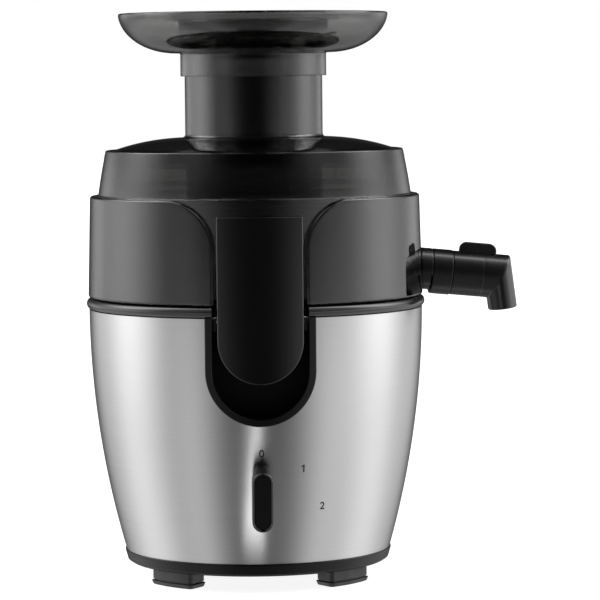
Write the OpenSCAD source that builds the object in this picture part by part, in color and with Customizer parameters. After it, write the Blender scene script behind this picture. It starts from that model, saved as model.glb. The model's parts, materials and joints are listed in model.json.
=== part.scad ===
// Centrifugal juicer. A steel barrel holds the motor, a smoky container with a side spout stands on
// it, a sieve basket spins in the container, and a lid with a wide feed chute closes it under a
// lock lever. A food tray with a pusher sits on the chute.
// Units are millimetres and Z is up. The front faces -Y, and the origin lies on the vertical axis,
// on the surface that the juicer stands on. An azimuth turns from the front towards +X.

/* [Barrel] */
// Largest radius of the steel barrel
barrel_r = 97.6; // [95:0.1:99]
// Radius of the arc that the barrel's side follows
barrel_arc_r = 523; // [480:1:580]
// Height at which the barrel is widest
barrel_mid_z = 160; // [155:1:165]
// Height of the barrel's lower edge
barrel_low_z = 17; // [16.5:0.1:18]
// Height of the seam between the barrel and the trim ring
seam_z = 158; // [156:0.5:158]
// Thickness of the sheet steel
sheet_t = 0.8; // [0.6:0.1:1]

/* [Feet] */
// Outer radius of the feet's circle
foot_outer_r = 71; // [69:0.5:72]
// Inner radius of the feet's circle
foot_inner_r = 56; // [52:0.5:60]
// Angle that one foot spans
foot_angle = 28; // [24:1:32]
// Height of a foot
foot_h = 9.5; // [9:0.1:9.5]

/* [Front recess] */
// Half the clear width of the recess behind the lock lever
recess_half_w = 27.3; // [27:0.1:28]
// Height of the centre of the recess's round lower end
recess_mid_z = 128.3; // [127:0.1:129]
// Width of the frame around the recess
frame_w = 4; // [3:0.5:5]
// Depth of the recess's back wall from the vertical axis
recess_back_y = 75; // [74.8:0.1:75.2]

/* [Lock lever] */
// Width of the lock lever
lever_w = 48.6; // [46:0.1:48.6]
// Height of the lever's straight top edge
lever_top_z = 214.8; // [205:0.1:218]
// Height of the centre of the lever's round lower end
lever_mid_z = 145.3; // [144:0.1:147]
// Height of the lever's pin
lever_pin_z = 157; // [156:0.1:157]
// Distance of the lever's pin from the vertical axis
lever_pin_y = 90.5; // [90.5:0.1:90.6]

/* [Control knob] */
// Height of the knob on the barrel's side
knob_z = 60; // [56:0.5:64]
// Length of the knob's bar
knob_l = 35; // [30:0.5:36]
// Width of the knob's bar
knob_w = 12; // [10:0.5:13]
// How far the knob stands out from the barrel
knob_h = 21; // [16:0.5:24]

/* [Motor] */
// Radius of the motor shaft
shaft_r = 4; // [4:0.1:4]
// Radius of the armature
armature_r = 22; // [20:0.1:22]
// Height of the lamination stacks
stack_h = 38; // [34:1:38]
// Height of the stacks' lower face
stack_z = 74; // [74:0.5:74]
// Radius of the cooling fan
fan_r = 38; // [34:0.5:38]

/* [Container] */
// Radius of the container at its floor
container_r = 98; // [97.8:0.1:98.4]
// Radius of the container at its rim
container_rim_r = 96.4; // [96.2:0.1:96.6]
// Height of the container's lower face
container_z = 165; // [165:0.1:165.2]
// Height of the container's rim
container_rim_z = 224; // [223:0.1:224]
// Wall thickness of the smoky mouldings
wall = 2.2; // [2:0.1:2.3]
// Half the width of the container's front notch
notch_half_w = 26.4; // [26:0.1:27]
// Radius of the notch's flared upper corners
notch_flare_r = 28; // [24:0.5:30]

/* [Spout] */
// Azimuth of the spout
spout_azimuth = 93; // [90:0.5:95]
// Height of the spout's axis at the container's wall
spout_z = 178.2; // [178.2:0.1:180]
// Angle by which the spout slopes down
spout_slope = 5.5; // [4:0.5:6]
// Radius of the turning elbow
elbow_r = 13; // [12.8:0.1:13.2]
// Height of the nozzle's outlet below the elbow's axis
nozzle_drop = 18.9; // [18:0.1:20.5]
// Angle of the nozzle from vertical
nozzle_lean = 7.5; // [5:0.5:9]

/* [Lid] */
// Outer radius of the lid's side where it leaves the container
lid_r = 91.5; // [91.3:0.1:91.6]
// Height of the lid's upper rim
lid_rim_z = 250.4; // [249.5:0.1:251]
// Height of the dome's crown
dome_top_z = 257.5; // [257:0.1:258.5]
// Radius of the dome's curve
dome_arc_r = 128; // [125:1:135]

/* [Feed chute] */
// Outer radius of the feed chute
chute_r = 40.2; // [40.1:0.1:40.2]
// Inner radius of the feed chute
chute_bore_r = 37.5; // [37.5:0.1:37.6]
// Height of the chute's lower end, just above the grater
chute_low_z = 193; // [193:0.5:196]
// Height of the chute's upper end
chute_top_z = 303; // [300:0.5:303]

/* [Food tray] */
// Largest radius of the food tray
tray_r = 79; // [76:0.1:79.2]
// Height of the tray's rim, the top of the juicer
tray_top_z = 330; // [330:0.1:330.4]
// Height of the underside of the tray's floor
tray_floor_z = 306.6; // [306.4:0.1:306.6]
// Radius of the collar that slips over the chute
tray_collar_r = 42.6; // [42.6:0.1:43]
// Height of the collar's lower edge
tray_collar_z = 293.2; // [290:0.1:294]
// Thickness of the tray
tray_t = 3; // [2.8:0.1:3]

/* [Pusher] */
// Outer radius of the pusher's tube
pusher_r = 36.9; // [36.5:0.1:36.9]
// Outer radius of the pusher's cap
pusher_cap_r = 43.8; // [43:0.1:44]
// Height of the pusher's closed lower end
pusher_low_z = 196; // [196:0.5:200]

/* [Basket] */
// Radius of the sieve at the grater
sieve_low_r = 49; // [49:0.1:49.5]
// Radius of the sieve at its rim
sieve_top_r = 57; // [56:0.1:57]
// Outer radius of the basket's rim
basket_r = 66; // [64:0.1:66]
// Number of teeth along each row of the grater
teeth_in_row = 5; // [3:1:6]
// Number of rows of teeth
tooth_rows = 12; // [8:1:16]

/* [Hidden] */
$fn = 120;

// Colours of the plastics and metals
smoke = [0.16, 0.16, 0.17, 0.75];
black = [0.09, 0.09, 0.1];
dark_grey = [0.2, 0.2, 0.21];
seal_grey = [0.3, 0.3, 0.32];
white = [0.85, 0.85, 0.83];
brown_board = [0.25, 0.17, 0.1];
carbon = [0.15, 0.15, 0.16];
steel = [0.72, 0.72, 0.73];
stack_steel = [0.45, 0.46, 0.48];
aluminium = [0.66, 0.67, 0.69];
copper = [0.72, 0.42, 0.22];

slack = 0.3;                // gap between pieces that move past each other
run_fit = 0.05;             // radial gap of a running fit
reach = 110;                // further out than anything on the barrel

ring_h = 6.6;               // height of the trim ring
ring_r = 99.1;              // largest radius of the trim ring
ring_inner_r = 92.8;
deck_z = 161;
deck_top_z = container_z - 0.6;
recess_wall = 1.6;
recess_floor_z = recess_mid_z - recess_half_w;
gland_z = 38;               // height of the cord gland at the back

lever_t = 4;
lever_inner_r = 94.6;
lever_pin_r = 2;
lever_lug_r = 5;
lever_lug_w = 10;

bearing_bore_r = shaft_r + 0.03;
bearing_outer_r = 11;
bearing_h = 7;
lower_bearing_z = 26;
upper_bearing_z = 125;
stack_top_z = stack_z + stack_h;
stator_bore_r = armature_r + 0.5;
motor_bolt_xy = 33.5;       // the motor's long screws stand on a square of twice this side
motor_bolt_r = 2;
cover_screw_r = 2;
cover_post_z = 21.8;        // top of the cover's posts, under the lower motor bracket
lower_bracket_z = 22;
coil_inner_r = 25.4;
coil_outer_r = 32;
damper_y = 44;              // distance of the dampers from the axis
damper_h = 10;
bracket_top_z = 132;
seal_z = 157;               // lower face of the shaft's seal
seal_r = 9;
commutator_r = 12;
commutator_z = 49;
commutator_h = 12;
brush_plate_z = 62;
brush_z = commutator_z + commutator_h / 2;
brush_w = 6;
brush_h = 9;
brush_l = 19;
coupling_r = 11;
coupling_z = 166;

tub_r = 90;                 // outer radius of the container's inner wall
tub_top_z = 215;
floor_top_z = container_z + 2.5;
collector_r = 64;           // outer radius of the juice collector
collector_floor_z = floor_top_z + 0.5;
hub_tube_r = 19;            // outer radius of the collector's centre tube

disc_z = 184;               // underside of the basket's disc
rim_z = 222;                // top of the sieve

skirt_z = 204;
skirt_r = 93.2;
lid_low_z = 224.6;
nose_half_w = 34;
nose_z = 169;
lid_side_drop = 0.14;       // how the lid's side draws in with height
lid_side_curve = 0.0015;

pipe_r = 10.3;
sleeve_r = 13.3;
spout_wall_r = 96;          // the spout frame's origin lies at this radius
sleeve_start = 7.5;
sleeve_end = 19.3;
elbow_start = sleeve_end + 0.4;
elbow_bore_r = 10.6;
nozzle_at = 48.2;           // where the nozzle's axis crosses the elbow's axis
nozzle_half_t = 8.45;
nozzle_half_w = 12.3;
nozzle_wall = 2;
nozzle_turn = 90 - spout_slope - nozzle_lean;
groove_at = 29;             // middle of the spigot's groove, along the spout's axis
groove_r = 9.3;
o_ring_r = 0.44;            // radius of the ring's section

tray_mid_r = 45;            // inner end of the tray's elliptical curve
tray_curve_z = tray_floor_z + 24.4;
pusher_cap_z = tray_floor_z + tray_t + slack;
pusher_cap_top_z = 325.4;

plunger_z = 140;
plunger_r = 2.5;
spindle_r = 2.95;           // radius of the control knob's spindle

foot_azimuths = [47, 133, 227, 313];

// Radius and slope of the barrel's side at a height.
function barrel_radius(z) = barrel_r - barrel_arc_r + sqrt(pow(barrel_arc_r, 2) - pow(z - barrel_mid_z, 2));
function barrel_slope(z) = asin((barrel_mid_z - z) / barrel_arc_r);

// The list in reverse order.
function reversed(list) = [for (i = [len(list) - 1 : -1 : 0]) list[i]];

// Points up the barrel's side, moved out by an offset.
function barrel_side(low_z, top_z, offset_r, steps = 14) =
    [for (i = [0 : steps])
        let (z = low_z + (top_z - low_z) * i / steps)
        [barrel_radius(z) + offset_r, z]];

// Radius of the lid's slanted side at a height above the container.
function lid_side_r(h) = lid_r - lid_side_drop * h - lid_side_curve * h * h;

// Points up the lid's side, moved out by an offset.
function lid_side(offset_r, steps = 6) =
    [for (i = [0 : steps])
        let (h = (lid_rim_z - 2 - lid_low_z) * i / steps)
        [lid_side_r(h) + offset_r, lid_low_z + h]];

// Points over the dome from its edge to the chute, moved up by an offset.
function dome_line(edge_r, offset_z, steps = 10) =
    [for (i = [0 : steps])
        let (r = edge_r + (chute_r - edge_r) * i / steps)
        [r, dome_top_z - dome_arc_r + sqrt(pow(dome_arc_r, 2) - pow(r - chute_r, 2)) + offset_z]];

// Points along the tray's elliptical side from the floor to the rim, inside by an inset.
function tray_side(inset, top_z, steps = 12) =
    let (
        a = tray_r - tray_mid_r - inset,
        b = tray_curve_z - tray_floor_z - inset,
        last = asin((tray_curve_z - top_z) / b)
    )
    [for (i = [0 : steps])
        let (t = 90 + (last - 90) * i / steps)
        [tray_mid_r + a * cos(t), tray_curve_z - b * sin(t)]];

// Turns its children from the front to an azimuth.
module at_azimuth(azimuth) {
    rotate([0, 0, azimuth])
        children();
}

// Stands its children on the barrel's side, with their Z along the outward normal.
module on_barrel(azimuth, z) {
    at_azimuth(azimuth)
        translate([0, -barrel_radius(z), z])
            rotate([90 + barrel_slope(z), 0, 0])
                children();
}

// Puts its children on the spout's axis, with their Z pointing out along it.
module on_spout() {
    at_azimuth(spout_azimuth)
        translate([0, -spout_wall_r, spout_z])
            rotate([90 + spout_slope, 0, 0])
                children();
}

// Puts its children on the nozzle's axis, in the spout's frame, with their Z pointing out of the nozzle.
module on_nozzle() {
    translate([0, 0, nozzle_at])
        rotate([nozzle_turn, 0, 0])
            children();
}

// Repeats its children at the four motor screws.
module at_motor_bolts() {
    for (x = [-motor_bolt_xy, motor_bolt_xy])
        for (y = [-motor_bolt_xy, motor_bolt_xy])
            translate([x, y, 0])
                children();
}

// Repeats its children at the four rubber dampers.
module at_dampers() {
    for (turn = [0 : 90 : 270])
        rotate([0, 0, turn])
            translate([0, -damper_y, 0])
                children();
}

// A straight ring about the vertical axis.
module ring(outer_r, inner_r, low_z, top_z) {
    rotate_extrude()
        translate([inner_r, low_z])
            square([outer_r - inner_r, top_z - low_z]);
}

// A front-view outline, extruded between two distances in front of the axis.
module front_prism(near_y, far_y) {
    translate([0, -near_y, 0])
        rotate([90, 0, 0])
            linear_extrude(far_y - near_y)
                children();
}

// The recess's outline: straight sides over a half round.
module recess_outline(half_w, top_z) {
    translate([0, recess_mid_z])
        circle(r = half_w);
    translate([-half_w, recess_mid_z])
        square([2 * half_w, top_z - recess_mid_z]);
}

// A skin that follows the barrel's side between two offsets.
module barrel_skin(low_z, top_z, outer_offset, inner_offset) {
    rotate_extrude()
        polygon(concat(
            barrel_side(low_z, top_z, inner_offset),
            reversed(barrel_side(low_z, top_z, outer_offset))
        ));
}

// The room inside the barrel and its trim ring, smaller by an inset.
module recess_core(inset) {
    neck_z = seam_z - 0.2;
    neck_r = ring_inner_r - 0.2;
    rotate_extrude()
        polygon(concat(
            [[0, barrel_low_z]],
            barrel_side(barrel_low_z, neck_z, -inset),
            [[neck_r, neck_z], [neck_r, deck_top_z], [0, deck_top_z]]
        ));
}

// The two bosses that hold the lever's pin, out to a half width.
module recess_bosses(boss_r, outer_x) {
    inner_x = lever_w / 2 + slack;
    for (side = [-1, 1])
        translate([side * (inner_x + outer_x) / 2, -lever_pin_y, lever_pin_z])
            rotate([0, 90, 0])
                cylinder(h = outer_x - inner_x, r = boss_r, center = true);
}

// A pie-shaped sector about the front, up to 80 degrees either side.
module sector(half_angle, radius) {
    far = radius / cos(half_angle);
    x = far * sin(half_angle);
    y = -far * cos(half_angle);
    polygon([[0, 0], [-x, y], [x, y]]);
}

// Part of a flat ring that spans an angle either side of the front.
module ring_sector(outer_r, inner_r, half_angle) {
    intersection() {
        difference() {
            circle(r = outer_r);
            circle(r = inner_r);
        }
        sector(half_angle, outer_r);
    }
}

// A rectangle with round ends along X.
module stadium(half_w, half_h) {
    for (x = [-1, 1])
        translate([x * (half_w - half_h), 0])
            circle(r = half_h);
    square([2 * (half_w - half_h), 2 * half_h], center = true);
}

// A rectangle with rounded corners, centred.
module rounded_square(w, h, corner_r) {
    square([w - 2 * corner_r, h], center = true);
    square([w, h - 2 * corner_r], center = true);
    for (x = [-1, 1])
        for (y = [-1, 1])
            translate([x * (w / 2 - corner_r), y * (h / 2 - corner_r)])
                circle(r = corner_r);
}

// Base

// Brushed steel barrel, open at both ends, cut out for the recess, the knob and the cord gland.
module steel_shell() {
    knob_hole_r = 5;
    gland_hole_r = 7.2;
    color(steel)
        difference() {
            barrel_skin(barrel_low_z, seam_z, 0, -sheet_t);
            front_prism(60, reach)
                recess_outline(recess_half_w + 2, seam_z + 5);
            on_barrel(0, knob_z)
                cylinder(h = 20, r = knob_hole_r, center = true);
            on_barrel(180, gland_z)
                cylinder(h = 20, r = gland_hole_r, center = true);
        }
}

// Dark ring over the barrel's seam, in one piece with the frame round the recess.
module trim_ring() {
    spigot_h = 8;
    neck_depth = 2.6;
    frame_proud = 1;
    mark_azimuth = 64.7;
    mark_w = 4.6;
    mark_h = 3;
    mark_depth = 1.2;
    color(dark_grey)
        difference() {
            union() {
                rotate_extrude()
                    intersection() {
                        translate([ring_inner_r, seam_z])
                            square([ring_r - ring_inner_r, ring_h]);
                        union() {
                            translate([ring_inner_r - 1, seam_z])
                                square([ring_r - ring_h / 2 - ring_inner_r + 1, ring_h]);
                            translate([ring_r - ring_h / 2, seam_z + ring_h / 2])
                                circle(r = ring_h / 2);
                        }
                    }
                barrel_skin(seam_z - spigot_h, seam_z + 1, -sheet_t - 0.2, -neck_depth);
                intersection() {
                    barrel_skin(recess_floor_z - 10, seam_z + 1, frame_proud, 0.05);
                    front_prism(60, reach)
                        recess_outline(recess_half_w + frame_w, seam_z + 2);
                }
                intersection() {
                    barrel_skin(recess_floor_z - 10, seam_z + 1, 0.5, -neck_depth);
                    front_prism(60, reach)
                        recess_outline(recess_half_w + recess_wall, seam_z + 2);
                }
            }
            front_prism(60, reach)
                recess_outline(recess_half_w, seam_z + 10);
            at_azimuth(mark_azimuth)
                translate([-mark_w / 2, -reach, seam_z + (ring_h - mark_h) / 2])
                    cube([mark_w, reach - ring_r + mark_depth, mark_h]);
        }
}

// Black liner of the recess, with the bosses that hold the lever's pin.
module latch_recess() {
    liner_half_w = recess_half_w + recess_wall;
    boss_r = 6.5;
    color(black)
        difference() {
            union() {
                intersection() {
                    difference() {
                        front_prism(recess_back_y - recess_wall, reach)
                            recess_outline(liner_half_w, seam_z + ring_h - 0.4);
                        front_prism(recess_back_y, reach + 1)
                            recess_outline(recess_half_w, seam_z + ring_h + 1);
                    }
                    recess_core(2.8);
                }
                intersection() {
                    recess_bosses(boss_r, recess_half_w - 0.1);
                    recess_core(1.2);
                }
                intersection() {
                    recess_bosses(boss_r, recess_half_w + 0.5);
                    recess_core(2.8);
                }
            }
            translate([0, -lever_pin_y, lever_pin_z])
                rotate([0, 90, 0])
                    cylinder(h = 80, r = lever_pin_r + run_fit, center = true);
            translate([0, -recess_back_y, plunger_z])
                rotate([90, 0, 0])
                    cylinder(h = 10, r = plunger_r + slack, center = true);
        }
}

// Black deck that the container stands on, with pillars for the motor's dampers.
module base_deck() {
    pillar_r = 6;
    damper_top_z = bracket_top_z + damper_h;
    color(black)
        difference() {
            union() {
                translate([0, 0, deck_z])
                    cylinder(h = deck_top_z - deck_z, r = ring_inner_r - 0.2);
                at_dampers()
                    translate([0, 0, damper_top_z])
                        cylinder(h = deck_z - damper_top_z + 1, r = pillar_r);
                translate([0, 0, seal_z])
                    cylinder(h = deck_z - seal_z + 1, r = seal_r + 3);
            }
            front_prism(recess_back_y - recess_wall - 0.2, reach)
                translate([-recess_half_w - recess_wall - 0.2, 0])
                    square([2 * (recess_half_w + recess_wall + 0.2), 200]);
            translate([0, 0, seal_z - 1])
                cylinder(h = deck_top_z, r = seal_r + run_fit);
        }
}

// Black bottom cover with cooling slots and the barrel's lower edge ring.
module bottom_cover() {
    plate_t = 3;
    rim_h = 6;
    slot_count = 24;
    slot_w = 3;
    slot_l = 18;
    slot_start = 14;
    color(black)
        difference() {
            union() {
                rotate_extrude()
                    polygon([
                        [0, foot_h], [73.6, foot_h], [75, foot_h + 0.6], [75.8, foot_h + 2],
                        [78.3, barrel_low_z - 0.6], [78.1, barrel_low_z - 0.1], [76.6, barrel_low_z - 0.1],
                        [76.6, barrel_low_z + rim_h], [74.8, barrel_low_z + rim_h],
                        [73.2, foot_h + plate_t], [0, foot_h + plate_t]
                    ]);
                at_motor_bolts()
                    translate([0, 0, foot_h + plate_t - 0.5])
                        cylinder(h = cover_post_z - foot_h - plate_t + 0.5, r = 6);
            }
            at_motor_bolts()
                translate([0, 0, foot_h - 1])
                    cylinder(h = 20, r = cover_screw_r + slack);
            at_motor_bolts()
                translate([0, 0, foot_h - 1])
                    cylinder(h = 3, r = 4.4);
            for (i = [0 : slot_count - 1])
                rotate([0, 0, (i + 0.5) * 360 / slot_count])
                    translate([-slot_w / 2, slot_start, foot_h - 1])
                        cube([slot_w, slot_l, plate_t + 2]);
        }
}

// One rubber foot at an azimuth: a block over a slightly wider pad.
module foot(azimuth) {
    pad_t = 2.5;
    groove_t = 0.8;
    color(black)
        at_azimuth(azimuth) {
            linear_extrude(pad_t)
                ring_sector(foot_outer_r + 0.8, foot_inner_r - 0.8, foot_angle / 2 + 0.6);
            translate([0, 0, pad_t])
                linear_extrude(groove_t)
                    ring_sector(foot_outer_r - 0.8, foot_inner_r + 0.8, foot_angle / 2 - 0.8);
            translate([0, 0, pad_t + groove_t])
                linear_extrude(foot_h - pad_t - groove_t)
                    ring_sector(foot_outer_r, foot_inner_r, foot_angle / 2);
        }
}
module foot_front_right() { foot(foot_azimuths[0]); }
module foot_rear_right() { foot(foot_azimuths[1]); }
module foot_rear_left() { foot(foot_azimuths[2]); }
module foot_front_left() { foot(foot_azimuths[3]); }

// Screws that hold the bottom cover to the lower motor bracket.
module cover_screws() {
    head_h = 1.6;
    color(steel)
        at_motor_bolts()
            translate([0, 0, foot_h + 0.2]) {
                cylinder(h = head_h, r = 4);
                cylinder(h = 17, r = cover_screw_r);
            }
}

// Rubber gland at the back, where the mains cord enters.
module cord_gland() {
    cord_bore_r = 3.6;
    color(black)
        on_barrel(180, gland_z)
            difference() {
                rotate_extrude()
                    polygon([
                        [0, -7], [9.5, -7], [9.5, -3.6], [7, -3.6], [7, 0.2], [10.5, 0.2],
                        [10.5, 2], [8.5, 3.6], [7, 3.6], [6.4, 5], [6.4, 9], [0, 9]
                    ]);
                cylinder(h = 40, r = cord_bore_r, center = true);
            }
}

// Motor

// Laminated stator: a square stack with clipped corners, two poles and four windows for the coils.
module motor_stator() {
    side = 84;
    corner_r = 51.5;
    color(stack_steel)
        translate([0, 0, stack_z])
            linear_extrude(stack_h)
                difference() {
                    intersection() {
                        square(side, center = true);
                        circle(r = corner_r);
                    }
                    circle(r = stator_bore_r);
                    for (pole = [90, 270])
                        for (side_turn = [-1, 1])
                            rotate(pole + side_turn * 66)
                                ring_sector(coil_outer_r + 0.6, coil_inner_r - 0.6, 12);
                    at_motor_bolts()
                        circle(r = motor_bolt_r + 0.1);
                }
}

// Field coils: one flat loop of wire round each pole.
module field_coils() {
    end_h = 8;
    color(copper)
        for (pole = [90, 270])
            difference() {
                rotate([0, 0, pole])
                    translate([0, 0, stack_z - end_h])
                        linear_extrude(stack_h + 2 * end_h)
                            ring_sector(coil_outer_r, coil_inner_r, 76);
                rotate([0, 0, pole])
                    translate([0, 0, stack_z - 0.2])
                        linear_extrude(stack_h + 0.4)
                            ring_sector(coil_outer_r + 1, coil_inner_r - 1, 56);
            }
}

// Upper motor bracket: a round plate over four legs, with the upper bearing's seat.
module upper_motor_bracket() {
    plate_r = 51;
    plate_h = 4;
    plate_z = bracket_top_z - plate_h;
    hole_r = 6;
    color(aluminium)
        difference() {
            union() {
                translate([0, 0, plate_z])
                    cylinder(h = plate_h, r = plate_r);
                translate([0, 0, upper_bearing_z - 2])
                    cylinder(h = bracket_top_z - upper_bearing_z + 2, r = bearing_outer_r + 3);
                at_motor_bolts()
                    translate([0, 0, stack_top_z])
                        cylinder(h = plate_z - stack_top_z + 1, r = 5);
            }
            translate([0, 0, upper_bearing_z])
                cylinder(h = 20, r = bearing_outer_r);
            cylinder(h = 200, r = shaft_r + 2);
            at_motor_bolts()
                cylinder(h = 200, r = motor_bolt_r + 0.1);
            for (turn = [22.5 : 45 : 337.5])
                rotate([0, 0, turn])
                    translate([0, -31, plate_z - 1])
                        cylinder(h = plate_h + 2, r = hole_r);
        }
}

// Lower motor bracket: a spoked plate with the lower bearing's seat and four legs.
module lower_motor_bracket() {
    leg_r = 5;
    plate_r = 53;
    plate_h = 3;
    ledge_z = brush_plate_z - 3;
    color(aluminium)
        difference() {
            union() {
                translate([0, 0, lower_bracket_z])
                    cylinder(h = plate_h, r = plate_r);
                translate([0, 0, lower_bracket_z])
                    cylinder(h = lower_bearing_z + bearing_h - lower_bracket_z, r = bearing_outer_r + 3);
                at_motor_bolts()
                    translate([0, 0, lower_bracket_z])
                        cylinder(h = stack_z - lower_bracket_z, r = leg_r);
                for (turn = [45 : 90 : 315])
                    rotate([0, 0, turn])
                        translate([-2, 38.6, ledge_z])
                            cube([4, 6, 3]);
            }
            translate([0, 0, lower_bearing_z])
                cylinder(h = 20, r = bearing_outer_r);
            cylinder(h = 100, r = shaft_r + 2);
            at_motor_bolts()
                cylinder(h = 200, r = motor_bolt_r + 0.1);
            for (turn = [0 : 45 : 315])
                rotate([0, 0, turn])
                    translate([-6, 19, lower_bracket_z - 1])
                        cube([12, 17, plate_h + 2]);
        }
}

// A deep-groove ball bearing with a running fit on the shaft.
module bearing(low_z) {
    shield_depth = 0.5;
    color(steel)
        difference() {
            ring(bearing_outer_r, bearing_bore_r, low_z, low_z + bearing_h);
            ring(9.4, 6, low_z - 1, low_z + shield_depth);
            ring(9.4, 6, low_z + bearing_h - shield_depth, low_z + bearing_h + 1);
        }
}
module upper_bearing() { bearing(upper_bearing_z); }
module lower_bearing() { bearing(lower_bearing_z); }

// Brush holders: an insulating ring with two square tubes under it.
module brush_holders() {
    tube_start = 15;
    tube_h = brush_plate_z - brush_z + brush_h / 2 + 2;
    plate_r = 41;
    color(brown_board)
        difference() {
            union() {
                ring(plate_r, 16, brush_plate_z, brush_plate_z + 2);
                for (turn = [0, 180])
                    rotate([0, 0, turn])
                        translate([-brush_w / 2 - 1.5, tube_start, brush_z - brush_h / 2 - 1.5])
                            cube([brush_w + 3, plate_r - tube_start, tube_h]);
            }
            for (turn = [0, 180])
                rotate([0, 0, turn])
                    translate([-brush_w / 2 - 0.1, tube_start - 1, brush_z - brush_h / 2 - 0.1])
                        cube([brush_w + 0.2, plate_r - tube_start - 1, brush_h + 0.2]);
        }
}

// Carbon brushes, pushed towards the commutator by their springs.
module carbon_brushes() {
    color(carbon)
        for (turn = [0, 180])
            rotate([0, 0, turn])
                difference() {
                    translate([-brush_w / 2, commutator_r - 1, brush_z - brush_h / 2])
                        cube([brush_w, brush_l, brush_h]);
                    cylinder(h = 100, r = commutator_r + slack);
                }
}

// Brush springs, a few turns each.
module brush_springs() {
    wire_r = 0.5;
    turns = 7;
    pitch = 1.2;
    color(steel)
        for (turn = [0, 180])
            rotate([0, 0, turn])
                for (i = [0 : turns - 1])
                    translate([0, commutator_r + brush_l + i * pitch, brush_z])
                        rotate([90, 0, 0])
                            rotate_extrude($fn = 36)
                                translate([2.2, 0])
                                    circle(r = wire_r, $fn = 16);
}

// Rubber dampers between the upper bracket and the deck's pillars.
module motor_dampers() {
    color(black)
        at_dampers()
            translate([0, 0, bracket_top_z])
                rotate_extrude($fn = 48)
                    polygon([
                        [0, 0], [6, 0], [6, 3], [4.6, 4.2], [4.6, 5.8], [6, 7], [6, damper_h], [0, damper_h]
                    ]);
}

// Long screws through both motor brackets and the stator.
module motor_screws() {
    head_h = 3;
    low_z = 40;
    color(steel)
        at_motor_bolts() {
            translate([0, 0, low_z])
                cylinder(h = bracket_top_z - low_z, r = motor_bolt_r);
            translate([0, 0, bracket_top_z])
                difference() {
                    cylinder(h = head_h, r = 3.6);
                    translate([-5, -0.5, head_h - 1.2])
                        cube([10, 1, 2]);
                }
        }
}

// Rubber lip seal round the shaft, in the deck.
module shaft_seal() {
    color(black)
        rotate_extrude()
            polygon([
                [shaft_r + slack, seal_z + 2], [seal_r, seal_z], [seal_r, deck_top_z],
                [shaft_r + 2.4, deck_top_z], [shaft_r + slack, deck_top_z - 1.6]
            ]);
}

// Rotor

// Steel motor shaft with chamfered ends.
module motor_shaft() {
    low_z = lower_bearing_z - 2;
    top_z = coupling_z + 8.5;
    chamfer = 0.5;
    color(steel)
        rotate_extrude()
            polygon([
                [0, low_z], [shaft_r - chamfer, low_z], [shaft_r, low_z + chamfer], [shaft_r, top_z - chamfer],
                [shaft_r - chamfer, top_z], [0, top_z]
            ]);
}

// Laminated armature core with winding slots.
module armature_core() {
    slots = 12;
    color(stack_steel)
        translate([0, 0, stack_z])
            linear_extrude(stack_h)
                difference() {
                    circle(r = armature_r);
                    circle(r = shaft_r);
                    for (i = [0 : slots - 1])
                        rotate(i * 360 / slots) {
                            translate([-0.8, armature_r - 3])
                                square([1.6, 4]);
                            translate([0, armature_r - 5.2])
                                circle(r = 2.6, $fn = 32);
                        }
                }
}

// Armature windings: a wound end above and below the core.
module armature_windings() {
    wound_r = 18;
    end_h = 9.5;
    color(copper)
        rotate_extrude() {
            polygon([
                [shaft_r, stack_top_z], [wound_r, stack_top_z], [wound_r, stack_top_z + 6],
                [wound_r - 4, stack_top_z + end_h], [shaft_r, stack_top_z + end_h]
            ]);
            polygon([
                [shaft_r, stack_z], [wound_r, stack_z], [wound_r, stack_z - 6],
                [wound_r - 4, stack_z - end_h], [shaft_r, stack_z - end_h]
            ]);
        }
}

// Copper commutator with its bars.
module commutator() {
    bars = 24;
    color(copper)
        difference() {
            ring(commutator_r, shaft_r, commutator_z, commutator_z + commutator_h);
            for (i = [0 : bars - 1])
                rotate([0, 0, i * 360 / bars])
                    translate([-0.3, commutator_r - 1.2, commutator_z - 1])
                        cube([0.6, 3, commutator_h + 2]);
        }
}

// Radial cooling fan with a back plate.
module cooling_fan() {
    blades = 14;
    fan_z = 37;
    fan_h = 9.5;
    hub_r = 9;
    plate_t = 1.5;
    color(black)
        difference() {
            union() {
                translate([0, 0, fan_z])
                    cylinder(h = fan_h, r = hub_r);
                translate([0, 0, fan_z + fan_h - plate_t])
                    cylinder(h = plate_t, r = fan_r);
                for (i = [0 : blades - 1])
                    rotate([0, 0, i * 360 / blades])
                        translate([hub_r - 1, -0.7, fan_z + 0.5])
                            rotate([0, 0, 12])
                                cube([fan_r - hub_r, 1.4, fan_h - 1]);
            }
            cylinder(h = 100, r = shaft_r);
        }
}

// Outline of the coupling's drive dogs, larger by a clearance.
module coupling_outline(clearance) {
    dogs = 6;
    circle(r = coupling_r - 3 + clearance);
    for (i = [0 : dogs - 1])
        rotate(i * 360 / dogs)
            intersection() {
                translate([-2.4 - clearance, 0])
                    square([4.8 + 2 * clearance, coupling_r + 2]);
                circle(r = coupling_r + clearance);
            }
}

// Drive coupling on the shaft's upper end.
module drive_coupling() {
    height = 11;
    color(black)
        difference() {
            union() {
                translate([0, 0, coupling_z + 2])
                    linear_extrude(height - 2)
                        coupling_outline(0);
                translate([0, 0, coupling_z])
                    cylinder(h = 2.5, r = coupling_r + 0.3);
            }
            translate([0, 0, coupling_z - 1])
                cylinder(h = 10, r = shaft_r);
        }
}

// Container

// Outline of the container's front notch, flared out at its upper corners.
module notch_outline() {
    flare_z = container_rim_z - notch_flare_r;
    translate([-notch_half_w, container_z - 5])
        square([2 * notch_half_w, 200]);
    difference() {
        translate([-notch_half_w - notch_flare_r, flare_z])
            square([2 * (notch_half_w + notch_flare_r), 100]);
        for (side = [-1, 1])
            translate([side * (notch_half_w + notch_flare_r), flare_z])
                circle(r = notch_flare_r);
    }
}

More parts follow.
